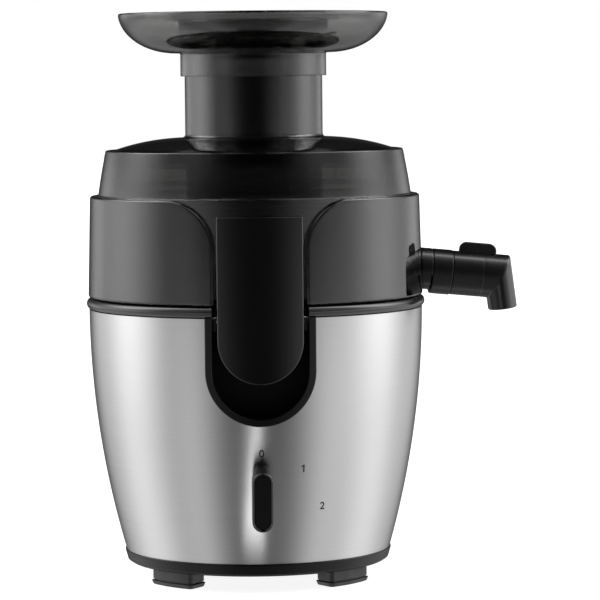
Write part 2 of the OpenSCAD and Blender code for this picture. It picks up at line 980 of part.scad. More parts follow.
// Smoky pulp container: an outer wall with a front notch and a full inner wall.
module pulp_container() {
    color(smoke)
        difference() {
            rotate_extrude() {
                polygon([
                    [hub_tube_r + slack, container_z], [container_r - 1, container_z],
                    [container_r, container_z + 1],
                    [container_rim_r, container_rim_z - 1],
                    [container_rim_r - wall / 2, container_rim_z],
                    [container_rim_r - wall, container_rim_z - 1], [container_r - wall, floor_top_z],
                    [hub_tube_r + slack, floor_top_z]
                ]);
                translate([tub_r - 2, floor_top_z - 1])
                    square([2, tub_top_z - floor_top_z + 1]);
            }
            difference() {
                front_prism(60, reach)
                    notch_outline();
                cylinder(h = 300, r = tub_r + 0.8);
            }
            on_spout()
                cylinder(h = 60, r = pipe_r + 0.2, center = true);
        }
}

// Smoky juice collector: a round trough inside the pulp space.
module juice_collector() {
    top_z = 220;
    tube_top_z = 178;
    trough_z = collector_floor_z + 2.5;
    color(smoke)
        difference() {
            rotate_extrude()
                polygon([
                    [hub_tube_r - 2, container_z + 0.6], [hub_tube_r, container_z + 0.6],
                    [hub_tube_r, collector_floor_z], [collector_r, collector_floor_z],
                    [collector_r, top_z], [collector_r - 2, top_z],
                    [collector_r - 2, trough_z], [hub_tube_r, trough_z],
                    [hub_tube_r, tube_top_z], [hub_tube_r - 2, tube_top_z]
                ]);
            intersection() {
                on_spout()
                    translate([0, 0, -60])
                        cylinder(h = 60, r = pipe_r + 0.2);
                difference() {
                    cylinder(h = 300, r = collector_r + 5);
                    cylinder(h = 300, r = collector_r - 20);
                }
                translate([-200, -200, trough_z])
                    cube(400);
            }
        }
}

// Spout pipe from the collector through both container walls, with its outer sleeve and spigot.
module spout_pipe() {
    spigot_r = 10.25;
    spigot_end = 33;
    bore_r = 8.4;
    groove_half = 0.9;
    pipe_start = -33.5;
    color(black)
        on_spout()
            difference() {
                rotate_extrude()
                    polygon([
                        [0, pipe_start], [pipe_r, pipe_start], [pipe_r, sleeve_start],
                        [sleeve_r, sleeve_start + 0.6],
                        [sleeve_r, sleeve_end], [spigot_r, sleeve_end], [spigot_r, groove_at - groove_half],
                        [groove_r, groove_at - groove_half], [groove_r, groove_at + groove_half],
                        [spigot_r, groove_at + groove_half], [spigot_r, spigot_end], [0, spigot_end]
                    ]);
                cylinder(h = 200, r = bore_r, center = true);
            }
}

// Collar round the pipe on the container's outside, broad over the top and slim underneath.
module spout_collar() {
    slim_r = 11.1;
    step_y = -2;
    color(black)
        difference() {
            on_spout()
                translate([0, 0, -6])
                    linear_extrude(sleeve_start + 5.9)
                        difference() {
                            union() {
                                circle(r = slim_r);
                                intersection() {
                                    circle(r = sleeve_r);
                                    translate([-sleeve_r, step_y])
                                        square([2 * sleeve_r, sleeve_r - step_y]);
                                }
                            }
                            circle(r = pipe_r + 0.1);
                        }
            cylinder(h = 400, r = container_r + 0.2);
        }
}

// Rubber ring in the spigot's groove.
module spout_o_ring() {
    color(black)
        on_spout()
            translate([0, 0, groove_at])
                rotate_extrude()
                    translate([groove_r + o_ring_r + 0.01, 0])
                        circle(r = o_ring_r, $fn = 24);
}

// Basket

// Basket frame: a hub with the coupling's socket under a round floor.
module basket_frame() {
    hub_r = 15;
    hub_z = coupling_z + 1.2;
    socket_top_z = 178.5;
    color(black)
        difference() {
            union() {
                translate([0, 0, hub_z])
                    cylinder(h = disc_z - hub_z + 1, r = hub_r);
                translate([0, 0, disc_z])
                    cylinder(h = 2.5, r = sieve_low_r - 0.8);
            }
            translate([0, 0, hub_z - 1])
                linear_extrude(socket_top_z - hub_z + 1)
                    coupling_outline(0.5);
            translate([0, 0, hub_z - 1])
                cylinder(h = coupling_z + 2.9 - hub_z + 1, r = coupling_r + 0.9);
        }
}

// Sieve cone, closed here: its holes are far finer than its wall.
module filter_mesh() {
    mesh_t = 0.6;
    color(steel)
        rotate_extrude()
            polygon([
                [sieve_low_r - mesh_t, disc_z], [sieve_low_r, disc_z],
                [sieve_top_r, rim_z], [sieve_top_r - mesh_t, rim_z]
            ]);
}

// Grater disc with rows of teeth.
module grater_disc() {
    disc_low_z = disc_z + 2.6;
    disc_t = 1;
    disc_r = 46;
    tooth_h = 1.5;
    color(steel) {
        difference() {
            translate([0, 0, disc_low_z])
                cylinder(h = disc_t, r = disc_r);
            for (row = [0 : tooth_rows - 1])
                rotate([0, 0, (row + 0.5) * 360 / tooth_rows])
                    translate([28, -1, disc_low_z - 1])
                        cube([12, 2, disc_t + 2]);
        }
        for (row = [0 : tooth_rows - 1])
            for (i = [0 : teeth_in_row - 1])
                rotate([0, 0, row * 360 / tooth_rows + i * 3])
                    translate([14 + i * 5.5, 0, disc_low_z + disc_t - 0.1])
                        cylinder(h = tooth_h, r1 = 1.2, r2 = 0.3, $fn = 16);
    }
}

// Plastic rim that stiffens the sieve's top.
module basket_rim() {
    color(black)
        rotate_extrude()
            polygon([
                [sieve_top_r + 0.2, rim_z + 0.2], [sieve_top_r + 1.4, rim_z - 5], [sieve_top_r + 3, rim_z - 5],
                [sieve_top_r + 3, rim_z - 0.6], [basket_r, rim_z - 0.6], [basket_r, rim_z + 1.6],
                [basket_r - 1, rim_z + 2.4], [sieve_top_r - 1, rim_z + 2.4], [sieve_top_r - 1, rim_z + 0.2]
            ]);
}

// Lid

// Smoky lid: a skirt inside the container, a slanted side, a low dome and a front nose.
module lid_shell() {
    lip_r = lid_side_r(lid_rim_z - lid_low_z);
    groove_r = lip_r - 3.4;
    color(smoke)
        difference() {
            union() {
                rotate_extrude()
                    polygon(concat(
                        [[skirt_r - wall, skirt_z], [skirt_r, skirt_z], [skirt_r, lid_low_z - 0.2]],
                        lid_side(0),
                        [[lip_r - 0.2, lid_rim_z - 0.6], [lip_r - 1, lid_rim_z], [lip_r - 2, lid_rim_z]],
                        dome_line(groove_r, 0),
                        reversed(dome_line(groove_r - 1, -wall)),
                        reversed(lid_side(-wall)),
                        [[skirt_r - wall, lid_low_z - 2]]
                    ));
                intersection() {
                    ring(skirt_r, skirt_r - wall, nose_z, skirt_z + 1);
                    front_prism(60, reach)
                        translate([0, nose_z + 40])
                            rounded_square(2 * nose_half_w, 80, 8);
                }
            }
            cylinder(h = 400, r = chute_r + 0.05);
        }
}

// Smoky feed chute through the lid, from the tray's collar down to the grater.
module feed_chute() {
    color(smoke)
        difference() {
            union() {
                ring(chute_r, chute_bore_r, chute_low_z, chute_top_z);
                ring(chute_r + 1, chute_r - 1, dome_top_z - wall - 3, dome_top_z - wall - 0.4);
            }
            translate([0, 0, chute_top_z - 1])
                cylinder(h = 3, r1 = chute_bore_r, r2 = chute_bore_r + 1.5);
        }
}

// Soft seal under the lid, over the container's inner wall.
module lid_seal() {
    color(seal_grey)
        rotate_extrude()
            polygon([
                [tub_r - 2.6, tub_top_z + 0.4], [tub_r + 0.8, tub_top_z + 0.4], [tub_r + 0.8, tub_top_z + 5],
                [tub_r - 0.4, tub_top_z + 5], [tub_r - 0.4, tub_top_z + 2], [tub_r - 2.6, tub_top_z + 2]
            ]);
}

// Smoky food tray: a shallow bowl on a collar that slips over the chute.
module food_tray() {
    collar_bore_r = chute_r + 0.35;
    step_z = chute_top_z + 0.4;
    color(smoke)
        rotate_extrude()
            polygon(concat(
                [[chute_bore_r, step_z], [collar_bore_r, step_z], [collar_bore_r, tray_collar_z],
                    [tray_collar_r, tray_collar_z], [tray_collar_r, tray_floor_z]],
                tray_side(0, tray_top_z - 1),
                [[tray_r - 0.6, tray_top_z - 0.3], [tray_r - 1.5, tray_top_z],
                    [tray_r - tray_t + 0.6, tray_top_z - 0.6]],
                reversed(tray_side(tray_t, tray_top_z - 2)),
                [[chute_bore_r, tray_floor_z + tray_t]]
            ));
}

// Smoky pusher: a long cup with a broad cap that rests on the tray's floor.
module pusher() {
    tube_wall = 2.4;
    cap_wall = 3.2;
    color(smoke)
        rotate_extrude()
            polygon([
                [0, pusher_low_z], [pusher_r - 1.5, pusher_low_z], [pusher_r, pusher_low_z + 1.5],
                [pusher_r, pusher_cap_z], [pusher_cap_r, pusher_cap_z], [pusher_cap_r, pusher_cap_top_z - 1],
                [pusher_cap_r - 1, pusher_cap_top_z], [pusher_cap_r - cap_wall + 0.6, pusher_cap_top_z],
                [pusher_cap_r - cap_wall, pusher_cap_top_z - 0.6], [pusher_cap_r - cap_wall, pusher_cap_z + 3],
                [pusher_r - tube_wall, pusher_cap_z + 3], [pusher_r - tube_wall, pusher_low_z + 3],
                [0, pusher_low_z + 3]
            ]);
}

// Lock lever

// Black lock lever: a curved tongue with two lugs on its pin.
module latch_lever() {
    color(black)
        difference() {
            union() {
                intersection() {
                    ring(lever_inner_r + lever_t, lever_inner_r, lever_mid_z - lever_w, lever_top_z);
                    front_prism(60, reach)
                        union() {
                            translate([0, lever_mid_z])
                                circle(r = lever_w / 2);
                            translate([-lever_w / 2, lever_mid_z])
                                square([lever_w, lever_top_z - lever_mid_z]);
                        }
                }
                for (side = [-1, 1])
                    translate([side * (lever_w - lever_lug_w) / 2, -lever_pin_y, lever_pin_z])
                        rotate([0, 90, 0])
                            cylinder(h = lever_lug_w, r = lever_lug_r, center = true);
            }
            translate([0, -lever_pin_y, lever_pin_z])
                rotate([0, 90, 0])
                    cylinder(h = 80, r = lever_pin_r + run_fit, center = true);
        }
}

// Soft pad on the lever's back, just short of the lid's nose.
module latch_pad() {
    pad_w = 32;
    pad_h = 28;
    pad_mid_z = 191;
    color(dark_grey)
        intersection() {
            ring(lever_inner_r - 0.1, skirt_r + slack, pad_mid_z - pad_h, pad_mid_z + pad_h);
            front_prism(60, reach)
                translate([0, pad_mid_z])
                    rounded_square(pad_w, pad_h, 4);
        }
}

// Steel pin of the lever.
module latch_pin() {
    color(steel)
        translate([0, -lever_pin_y, lever_pin_z])
            rotate([0, 90, 0])
                cylinder(h = 2 * recess_half_w - 0.4, r = lever_pin_r, center = true);
}

// Torsion spring on the pin, between the lever's lugs.
module latch_spring() {
    wire_r = 0.55;
    turns = 9;
    pitch = 1.15;
    coil_r = 3.1;
    color(steel)
        translate([0, -lever_pin_y, lever_pin_z]) {
            for (i = [0 : turns - 1])
                translate([(i - (turns - 1) / 2) * pitch, 0, 0])
                    rotate([0, 90, 0])
                        rotate_extrude($fn = 36)
                            translate([coil_r, 0])
                                circle(r = wire_r, $fn = 16);
            translate([(turns + 1) / 2 * pitch, coil_r, -14])
                cylinder(h = 17, r = wire_r, $fn = 16);
        }
}

// Micro switch behind the recess, worked by the plunger.
module interlock_switch() {
    body = [20, 12, 14];
    tab = [3.2, 5, 0.8];
    front_y = 68.6;
    color(black) {
        translate([-body[0] / 2, -front_y, plunger_z - body[2] / 2])
            cube(body);
        for (x = [-6, 0, 6])
            translate([x - tab[0] / 2, -front_y + body[1], plunger_z - 4])
                cube(tab);
    }
}

// Plunger that the lever's lower part pushes in as the lever opens.
module interlock_plunger() {
    tip_y = 94.3;
    back_y = 73.2;
    color(white)
        translate([0, -back_y, plunger_z])
            rotate([90, 0, 0])
                cylinder(h = tip_y - back_y, r = plunger_r);
}

// Control knob

// Black bar knob with a blind bore for its spindle.
module control_knob() {
    base_gap = 0.6;
    color(black)
        on_barrel(0, knob_z)
            difference() {
                rotate([0, 0, 90])
                    union() {
                        translate([0, 0, base_gap])
                            linear_extrude(knob_h - 4)
                                stadium(knob_l / 2 - 0.6, knob_w / 2 - 0.6);
                        translate([0, 0, knob_h - 8])
                            linear_extrude(7)
                                stadium(knob_l / 2, knob_w / 2);
                        translate([0, 0, knob_h - 1.5])
                            linear_extrude(1.5)
                                stadium(knob_l / 2 - 2, knob_w / 2 - 2);
                    }
                translate([0, 0, -1])
                    cylinder(h = 13, r = spindle_r + run_fit);
            }
}

// Spindle from the knob into the rotary switch.
module knob_spindle() {
    color(steel)
        on_barrel(0, knob_z)
            translate([0, 0, -8.5])
                cylinder(h = 20, r = spindle_r);
}

// Rotary switch behind the barrel's side.
module rotary_switch() {
    body_z = -30;
    body_h = 20;
    tab = [3.2, 0.8, 8];
    color(black)
        on_barrel(0, knob_z)
            difference() {
                union() {
                    translate([0, 0, body_z])
                        linear_extrude(body_h)
                            rounded_square(32, 28, 3);
                    for (x = [-9, -3, 3, 9])
                        translate([x - tab[0] / 2, -2, body_z - tab[2] + 2])
                            cube(tab);
                    translate([0, 0, body_z + body_h - 1])
                        cylinder(h = 5, r = 5);
                }
                translate([0, 0, body_z + body_h + 1])
                    cylinder(h = 20, r = spindle_r + run_fit);
            }
}

// Steel strap that holds the rotary switch off the bottom cover.
module switch_bracket() {
    strap_z = -9.8;
    strap_w = 16;
    strap_l = 49;
    color(steel)
        on_barrel(0, knob_z)
            translate([0, 0, strap_z])
                linear_extrude(1.6)
                    difference() {
                        union() {
                            rounded_square(44, 30, 4);
                            translate([-strap_w / 2, -strap_l])
                                square([strap_w, strap_l - 9]);
                        }
                        circle(r = 5.2);
                    }
}

// Spout elbow

// Black elbow that turns on the spout's spigot: an oval nozzle and a thumb tab.
module spout_elbow() {
    color(black)
        on_spout()
            difference() {
                union() {
                    intersection() {
                        translate([0, 0, elbow_start])
                            cylinder(h = 60, r = elbow_r);
                        on_nozzle()
                            union() {
                                translate([-20, -60, -30])
                                    cube([40, 60, 60]);
                                translate([0, 0, -30])
                                    linear_extrude(60)
                                        stadium(nozzle_half_w, nozzle_half_t);
                            }
                    }
                    on_nozzle()
                        linear_extrude(nozzle_drop)
                            stadium(nozzle_half_w, nozzle_half_t);
                    thumb_tab();
                }
                translate([0, 0, elbow_start - 1])
                    cylinder(h = nozzle_at - elbow_start + 1, r = elbow_bore_r);
                on_nozzle()
                    linear_extrude(nozzle_drop + 5)
                        stadium(nozzle_half_w - nozzle_wall, nozzle_half_t - nozzle_wall);
            }
}

// Thumb tab on top of the elbow, in the spout's frame.
module thumb_tab() {
    start = 23.6;
    length = 22;
    height = 5.7;
    thickness = 5;
    translate([thickness / 2, elbow_r - 4, start + length / 2])
        rotate([0, -90, 0])
            linear_extrude(thickness)
                translate([0, (height + 4) / 2])
                    rounded_square(length, height + 4, 4);
}

steel_shell();
trim_ring();
latch_recess();
base_deck();
bottom_cover();
foot_front_right();
foot_rear_right();
foot_rear_left();
foot_front_left();
cover_screws();
cord_gland();
motor_stator();
field_coils();
upper_motor_bracket();
lower_motor_bracket();
upper_bearing();
lower_bearing();
brush_holders();
carbon_brushes();
brush_springs();
motor_dampers();
motor_screws();
shaft_seal();
rotary_switch();
switch_bracket();
interlock_switch();
latch_pin();
latch_spring();
motor_shaft();
armature_core();
armature_windings();
commutator();
cooling_fan();
drive_coupling();
pulp_container();
juice_collector();
spout_pipe();
spout_collar();
spout_o_ring();
basket_frame();
filter_mesh();
grater_disc();
basket_rim();
lid_shell();
feed_chute();
lid_seal();
food_tray();
pusher();
latch_lever();
latch_pad();
control_knob();
knob_spindle();
spout_elbow();
interlock_plunger();
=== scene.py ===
import json
import math

import bmesh
import bpy
from mathutils import Matrix, Vector


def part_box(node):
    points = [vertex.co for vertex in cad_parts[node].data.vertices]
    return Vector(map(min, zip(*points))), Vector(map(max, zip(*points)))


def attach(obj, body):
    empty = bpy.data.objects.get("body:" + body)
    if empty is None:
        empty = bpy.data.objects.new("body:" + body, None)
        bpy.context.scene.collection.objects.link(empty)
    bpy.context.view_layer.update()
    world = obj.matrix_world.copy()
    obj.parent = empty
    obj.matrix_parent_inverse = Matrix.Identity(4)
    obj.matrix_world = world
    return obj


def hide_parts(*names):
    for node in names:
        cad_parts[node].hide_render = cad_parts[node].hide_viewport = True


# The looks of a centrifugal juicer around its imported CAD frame. Lengths below are in millimetres, and
# new_piece() turns them into metres. The front faces -Y, and an azimuth turns from it towards +X.

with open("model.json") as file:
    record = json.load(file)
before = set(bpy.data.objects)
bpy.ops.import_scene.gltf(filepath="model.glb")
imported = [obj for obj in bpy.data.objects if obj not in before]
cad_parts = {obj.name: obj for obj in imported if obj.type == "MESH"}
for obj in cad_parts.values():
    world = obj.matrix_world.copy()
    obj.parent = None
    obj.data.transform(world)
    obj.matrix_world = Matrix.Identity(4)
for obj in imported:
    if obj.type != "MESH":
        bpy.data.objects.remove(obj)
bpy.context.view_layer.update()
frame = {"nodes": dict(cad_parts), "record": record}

MM = 0.001


def box_mm(node):
    """Lowest and highest corner of a CAD node in millimetres."""
    low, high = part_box(node)
    return low / MM, high / MM


STEEL_LOW, STEEL_HIGH = box_mm("steel_shell")
RING_HIGH = box_mm("trim_ring")[1]
COVER_LOW, COVER_HIGH = box_mm("bottom_cover")
BOWL_LOW, BOWL_HIGH = box_mm("pulp_container")
LID_HIGH = box_mm("lid_shell")[1]
CHUTE_HIGH = box_mm("feed_chute")[1]
TRAY_LOW, TRAY_HIGH = box_mm("food_tray")
PUSHER_LOW, PUSHER_HIGH = box_mm("pusher")
LEVER_LOW, LEVER_HIGH = box_mm("latch_lever")
FOOT_HIGH = box_mm("foot_front_right")[1]
PIN_LOW, PIN_HIGH = box_mm("latch_pin")

# Barrel: its side is an arc that is widest just above the seam.
BARREL_ARC_R = 523
BARREL_MID_Z = 160
BARREL_R = STEEL_HIGH.x
SEAM_Z = STEEL_HIGH.z
SHEET_T = 0.8

# Recess behind the lock lever: straight sides over a half round.
RECESS_HALF_W = 27.3
RECESS_MID_Z = 128.3
FRAME_W = 4.0

# Container and its front notch. WALL is the thickness of the container's and the lid's walls.
BOWL_FLOOR_Z = BOWL_LOW.z
BOWL_RIM_Z = BOWL_HIGH.z
BOWL_R = 98.0
BOWL_RIM_R = 96.4
WALL = 2.2
NOTCH_HALF_W = 26.4
NOTCH_FLARE_R = 28.0
TUB_R = 90.0

# Lid dome and food tray, each with a curved section.
DOME_ARC_R = 128
DOME_CREST_Z = 257.5
TRAY_FLOOR_Z = 306.6
TRAY_FLOOR_R = 45
TRAY_RISE = 24.4

# Spout: an axis that slopes down, and a nozzle that crosses it.
SPOUT_AZIMUTH = 93
SPOUT_SLOPE = 5.5
SPOUT_START_R = 96.0
SPOUT_Z = 178.2
SLEEVE_R = 13.3
ELBOW_R = 13.0
ELBOW_BORE_R = 10.6
NOZZLE_AT = 48.2
NOZZLE_TURN = 77.0
NOZZLE_DROP = 18.9
NOZZLE_HALF_T = 8.45

# Control knob, and the cord's gland at the back.
KNOB_Z = 60.0
KNOB_L = 35.0
KNOB_W = 12.0
GLAND_Z = 38.0


# Outlines


def rounded(corners, closed=True, steps=6):
    """Points of an outline through corners (x, y, radius), with each radius drawn as an arc. An open outline
    keeps its two ends, and a nearly straight corner stays a point."""
    points = []
    count = len(corners)
    for i, (x, y, radius) in enumerate(corners):
        here = Vector((x, y))
        if radius <= 0 or (not closed and i in (0, count - 1)):
            points.append(here)
            continue
        to_before = Vector(corners[i - 1][:2]) - here
        to_after = Vector(corners[(i + 1) % count][:2]) - here
        half = to_before.angle(to_after) / 2
        if half > math.radians(89):
            points.append(here)
            continue
        reach = min(radius / math.tan(half), 0.49 * to_before.length, 0.49 * to_after.length)
        start = here + to_before.normalized() * reach
        end = here + to_after.normalized() * reach
        bisector = (to_before.normalized() + to_after.normalized()).normalized()
        centre = here + bisector * (reach / math.cos(half))
        first, last = start - centre, end - centre
        turn = first.angle_signed(last)
        for k in range(steps + 1):
            angle = -turn * k / steps
            points.append(centre + Matrix.Rotation(angle, 2) @ first)
    return points


def arc(centre, radius, first, last, steps):
    """Points on a circle from one angle to another, in degrees anticlockwise from +x."""
    angles = [math.radians(first + (last - first) * k / steps) for k in range(steps + 1)]
    return [Vector((centre[0] + radius * math.cos(a), centre[1] + radius * math.sin(a))) for a in angles]


def inset(outline, distance):
    """A closed anticlockwise outline moved inwards by a distance, or outwards where it is negative."""
    moved = []
    for before, here, after in zip(outline[-1:] + outline[:-1], outline, outline[1:] + outline[:1]):
        a = (here - before).normalized()
        b = (after - here).normalized()
        inward = Vector((-a.y - b.y, a.x + b.x))
        moved.append(here + inward * (distance / (1 + a.dot(b))))
    return moved


def stadium(half_l, half_w, steps):
    """A bar with round ends along y."""
    straight = half_l - half_w
    return arc((0, straight), half_w, 0, 180, steps) + arc((0, -straight), half_w, 180, 360, steps)


def rounded_box(low_x, low_y, high_x, high_y, radius):
    """A rectangle with round corners, anticlockwise."""
    corners = ((low_x, low_y), (high_x, low_y), (high_x, high_y), (low_x, high_y))
    return rounded([(x, y, radius) for x, y in corners])


def edge_steps(thickness, front_r, back_r, steps=4):
    """(inset, depth) pairs across a slab's rim from front face to back face, with both edges round."""
    quarter = [math.pi / 2 * k / steps for k in range(steps + 1)]
    front = [(front_r * (1 - math.sin(t)), front_r * (1 - math.cos(t))) for t in quarter]
    back = [(back_r * (1 - math.cos(t)), thickness - back_r * (1 - math.sin(t))) for t in quarter]
    return front + back


# Meshes


def skin(bm, loops, ring=False):
    """Adds a skin over closed loops of points. ring joins the last loop to the first. Without it, caps close
    both ends."""
    rows = [[bm.verts.new(Vector(p).to_3d()) for p in loop] for loop in loops]
    follow = rows[1:] + rows[:1] if ring else rows[1:]
    for row, after in zip(rows, follow):
        for i in range(len(row)):
            j = (i + 1) % len(row)
            bm.faces.new((row[i], row[j], after[j], after[i]))
    if not ring:
        bm.faces.new(rows[0])
        bm.faces.new(rows[-1])
    return bm


def lathe(bm, outline, steps=160):
    """Adds a closed outline of (radius, height) points turned about the Z axis."""
    loops = []
    for k in range(steps):
        a = math.tau * k / steps
        loops.append([(p.x * math.sin(a), -p.x * math.cos(a), p.y) for p in outline])
    return skin(bm, loops, ring=True)


def lathe_past_notch(bm, outline, half_w, steps=150):
    """Adds an outline turned about Z, but for a front gap with straight sides half_w from the middle."""
    loops = []
    for k in range(steps + 1):
        loop = []
        for p in outline:
            start = math.asin(half_w / p.x)
            a = start + (math.tau - 2 * start) * k / steps
            loop.append((p.x * math.sin(a), -p.x * math.cos(a), p.y))
        loops.append(loop)
    return skin(bm, loops)


def join(bm, part):
    """Moves a part's mesh into bm."""
    mesh = bpy.data.meshes.new("part")
    part.to_mesh(mesh)
    part.free()
    bm.from_mesh(mesh)
    bpy.data.meshes.remove(mesh)
    return bm


def slab(bm, outline, steps, wrap, cuts_u=(), cuts_v=()):
    """Adds a slab with an outline in (u, v) and a rim of (inset, depth) steps. Its faces are cut at the
    given u and v, and then wrap(u, v, depth) puts each point in place."""
    flat = bmesh.new()
    loops = [[(p.x, p.y, depth) for p in inset(outline, distance)] for distance, depth in steps]
    skin(flat, loops)
    for axis, cuts in ((0, cuts_u), (1, cuts_v)):
        normal = Vector((axis == 0, axis == 1, 0))
        for cut in cuts:
            parts = flat.verts[:] + flat.edges[:] + flat.faces[:]
            bmesh.ops.bisect_plane(flat, geom=parts, dist=1e-4, plane_co=normal * cut, plane_no=normal)
    for v in flat.verts:
        v.co = Vector(wrap(*v.co))
    return join(bm, flat)


def spread(low, high, count):
    """Evenly spaced values between two limits, without the limits."""
    return [low + (high - low) * k / count for k in range(1, count)]


def as_is(u, v, depth):
    """Leaves a slab flat, with its depth along Z."""
    return u, v, depth


def new_piece(name, bm, place=None):
    """A Blender object from a mesh in millimetres, cleaned and in metres. place moves it first."""
    bmesh.ops.remove_doubles(bm, verts=bm.verts, dist=0.004)
    bmesh.ops.dissolve_degenerate(bm, dist=0.002, edges=bm.edges)
    bmesh.ops.recalc_face_normals(bm, faces=bm.faces)
    if place is not None:
        bmesh.ops.transform(bm, matrix=place, verts=bm.verts)
    bmesh.ops.scale(bm, vec=(MM, MM, MM), verts=bm.verts)
    mesh = bpy.data.meshes.new(name)
    bm.to_mesh(mesh)
    bm.free()
    piece = bpy.data.objects.new(name, mesh)
    bpy.context.scene.collection.objects.link(piece)
    return piece


def cut_away(piece, *cutters):
    """Takes the cutters' shapes out of a piece."""
    for cutter in cutters:
        cut = piece.modifiers.new("cut", "BOOLEAN")
        cut.operation = "DIFFERENCE"
        cut.solver = "EXACT"
        cut.object = cutter
    bpy.context.view_layer.update()
    whole = piece.data
    evaluated = piece.evaluated_get(bpy.context.evaluated_depsgraph_get())
    piece.data = bpy.data.meshes.new_from_object(evaluated)
    piece.data.name = piece.name
    piece.modifiers.clear()
    bpy.data.meshes.remove(whole)
    for cutter in cutters:
        bpy.data.objects.remove(cutter)


def finish(mesh, material, sharp_angle):
    """Gives a mesh its material, and smooth shading between edges sharper than an angle in degrees."""
    mesh.shade_smooth()
    mesh.set_sharp_from_angle(angle=math.radians(sharp_angle))
    mesh.materials.clear()
    mesh.materials.append(material)


def dress(piece, body, material, slot, *nodes):
    """Gives a piece its finish and body, and the CAD nodes that it stands for. Weighted normals keep its
    flat faces flat beside small rounds."""
    finish(piece.data, material, 32)
    even = piece.modifiers.new("even_normals", "WEIGHTED_NORMAL")
    even.keep_sharp = True
    even.weight = 50
    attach(piece, body)
    if nodes:
        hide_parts(*nodes)
    return piece


# Materials


def add_node(tree, kind, **settings):
    """A node of a kind, with its settings."""
    made = tree.nodes.new(kind)
    for key, value in settings.items():
        setattr(made, key, value)
    return made


def add_math(tree, operation, a, b=0.0):
    """The result of a maths node on two numbers or sockets."""
    made = add_node(tree, "ShaderNodeMath", operation=operation)
    for socket, value in zip(made.inputs, (a, b)):
        if isinstance(value, bpy.types.NodeSocket):
            tree.links.new(value, socket)
        else:
            socket.default_value = value
    return made.outputs["Value"]


class Shader:
    """A node material with helpers for procedural detail."""

    def __init__(self, name):
        """A new material with a Principled shader."""
        self.material = bpy.data.materials.new(name)
        self.material.use_nodes = True
        self.tree = self.material.node_tree
        self.principled = self.tree.nodes["Principled BSDF"]
        self.coordinates = self.tree.nodes.new("ShaderNodeTexCoord")

    def node(self, kind, **settings):
        """A node of a kind, with its settings."""
        return add_node(self.tree, kind, **settings)

    def link(self, source, target):
        """Joins an output to an input."""
        self.tree.links.new(source, target)

    def set(self, **values):
        """Sets constants on the Principled shader, with _ in a name for a space."""
        for key, value in values.items():
            self.principled.inputs[key.replace("_", " ")].default_value = value

    def noise(self, scale, detail=3.0, roughness=0.5):
        """Noise with a scale for each axis, in cycles per metre."""
        mapping = self.node("ShaderNodeMapping")
        mapping.inputs["Scale"].default_value = scale if isinstance(scale, tuple) else (scale,) * 3
        texture = self.node("ShaderNodeTexNoise")
        texture.inputs["Scale"].default_value = 1.0
        texture.inputs["Detail"].default_value = detail
        texture.inputs["Roughness"].default_value = roughness
        self.link(self.coordinates.outputs["Object"], mapping.inputs["Vector"])
        self.link(mapping.outputs["Vector"], texture.inputs["Vector"])
        return texture.outputs["Fac"]

    def blend(self, a, b, share):
        """Mixes two values: share is the part that b takes."""
        kept = add_math(self.tree, "MULTIPLY", a, 1 - share)
        return add_math(self.tree, "ADD", kept, add_math(self.tree, "MULTIPLY", b, share))

    def spread(self, source, low, high, from_low=0.3, from_high=0.7):
        """Maps a value between two limits."""
        made = self.node("ShaderNodeMapRange")
        made.inputs["From Min"].default_value = from_low
        made.inputs["From Max"].default_value = from_high
        made.inputs["To Min"].default_value = low
        made.inputs["To Max"].default_value = high
        self.link(source, made.inputs["Value"])
        return made.outputs["Result"]

    def tint(self, source, low, high):
        """Colours between two tones."""
        ramp = self.node("ShaderNodeValToRGB")
        ramp.color_ramp.elements[0].position = 0.3
        ramp.color_ramp.elements[0].color = (*low, 1)
        ramp.color_ramp.elements[1].position = 0.7
        ramp.color_ramp.elements[1].color = (*high, 1)
        self.link(source, ramp.inputs["Fac"])
        self.link(ramp.outputs["Color"], self.principled.inputs["Base Color"])

    def rough(self, source, low, high):
        """Roughness between two limits."""
        self.link(self.spread(source, low, high), self.principled.inputs["Roughness"])

    def bump(self, source, height, strength=1.0):
        """Bump whose full height is in metres."""
        bump = self.node("ShaderNodeBump")
        bump.inputs["Strength"].default_value = strength
        bump.inputs["Distance"].default_value = height
        self.link(source, bump.inputs["Height"])
        if self.principled.inputs["Normal"].is_linked:
            self.link(self.principled.inputs["Normal"].links[0].from_socket, bump.inputs["Normal"])
        self.link(bump.outputs["Normal"], self.principled.inputs["Normal"])


def grey(value, warmth=0.0):
    """A grey that leans warm or cool by a small share."""
    return value * (1 + warmth), value, value * (1 - warmth)


def brushed_metal(name, tone, brush_scale, low_rough, high_rough, anisotropy):
    """Sheet metal brushed along lines: brush_scale is low along the lines and high across them."""
    shader = Shader(name)
    lines = shader.noise(brush_scale, detail=4.0, roughness=0.65)
    clouds = shader.noise(14, detail=2.0)
    mixed = shader.blend(lines, clouds, 0.2)
    shader.tint(mixed, grey(tone * 0.93), grey(tone * 1.05))
    shader.rough(mixed, low_rough, high_rough)
    shader.bump(lines, 0.00002, 0.35)
    shader.set(Metallic=1.0, Anisotropic=anisotropy, Anisotropic_Rotation=0.25)
    tangent = shader.node("ShaderNodeTangent", direction_type="RADIAL", axis="Z")
    shader.link(tangent.outputs["Tangent"], shader.principled.inputs["Tangent"])
    return shader.material


def plain_metal(name, tone, low_rough, high_rough, grain=900, depth=0.00001):
    """Turned, drawn or cast metal with a fine grain."""
    shader = Shader(name)
    grains = shader.noise(grain, detail=4.0)
    clouds = shader.noise(60, detail=2.0)
    shader.tint(clouds, tuple(c * 0.86 for c in tone), tone)
    shader.rough(grains, low_rough, high_rough)
    shader.bump(grains, depth, 0.5)
    shader.set(Metallic=1.0)
    return shader.material


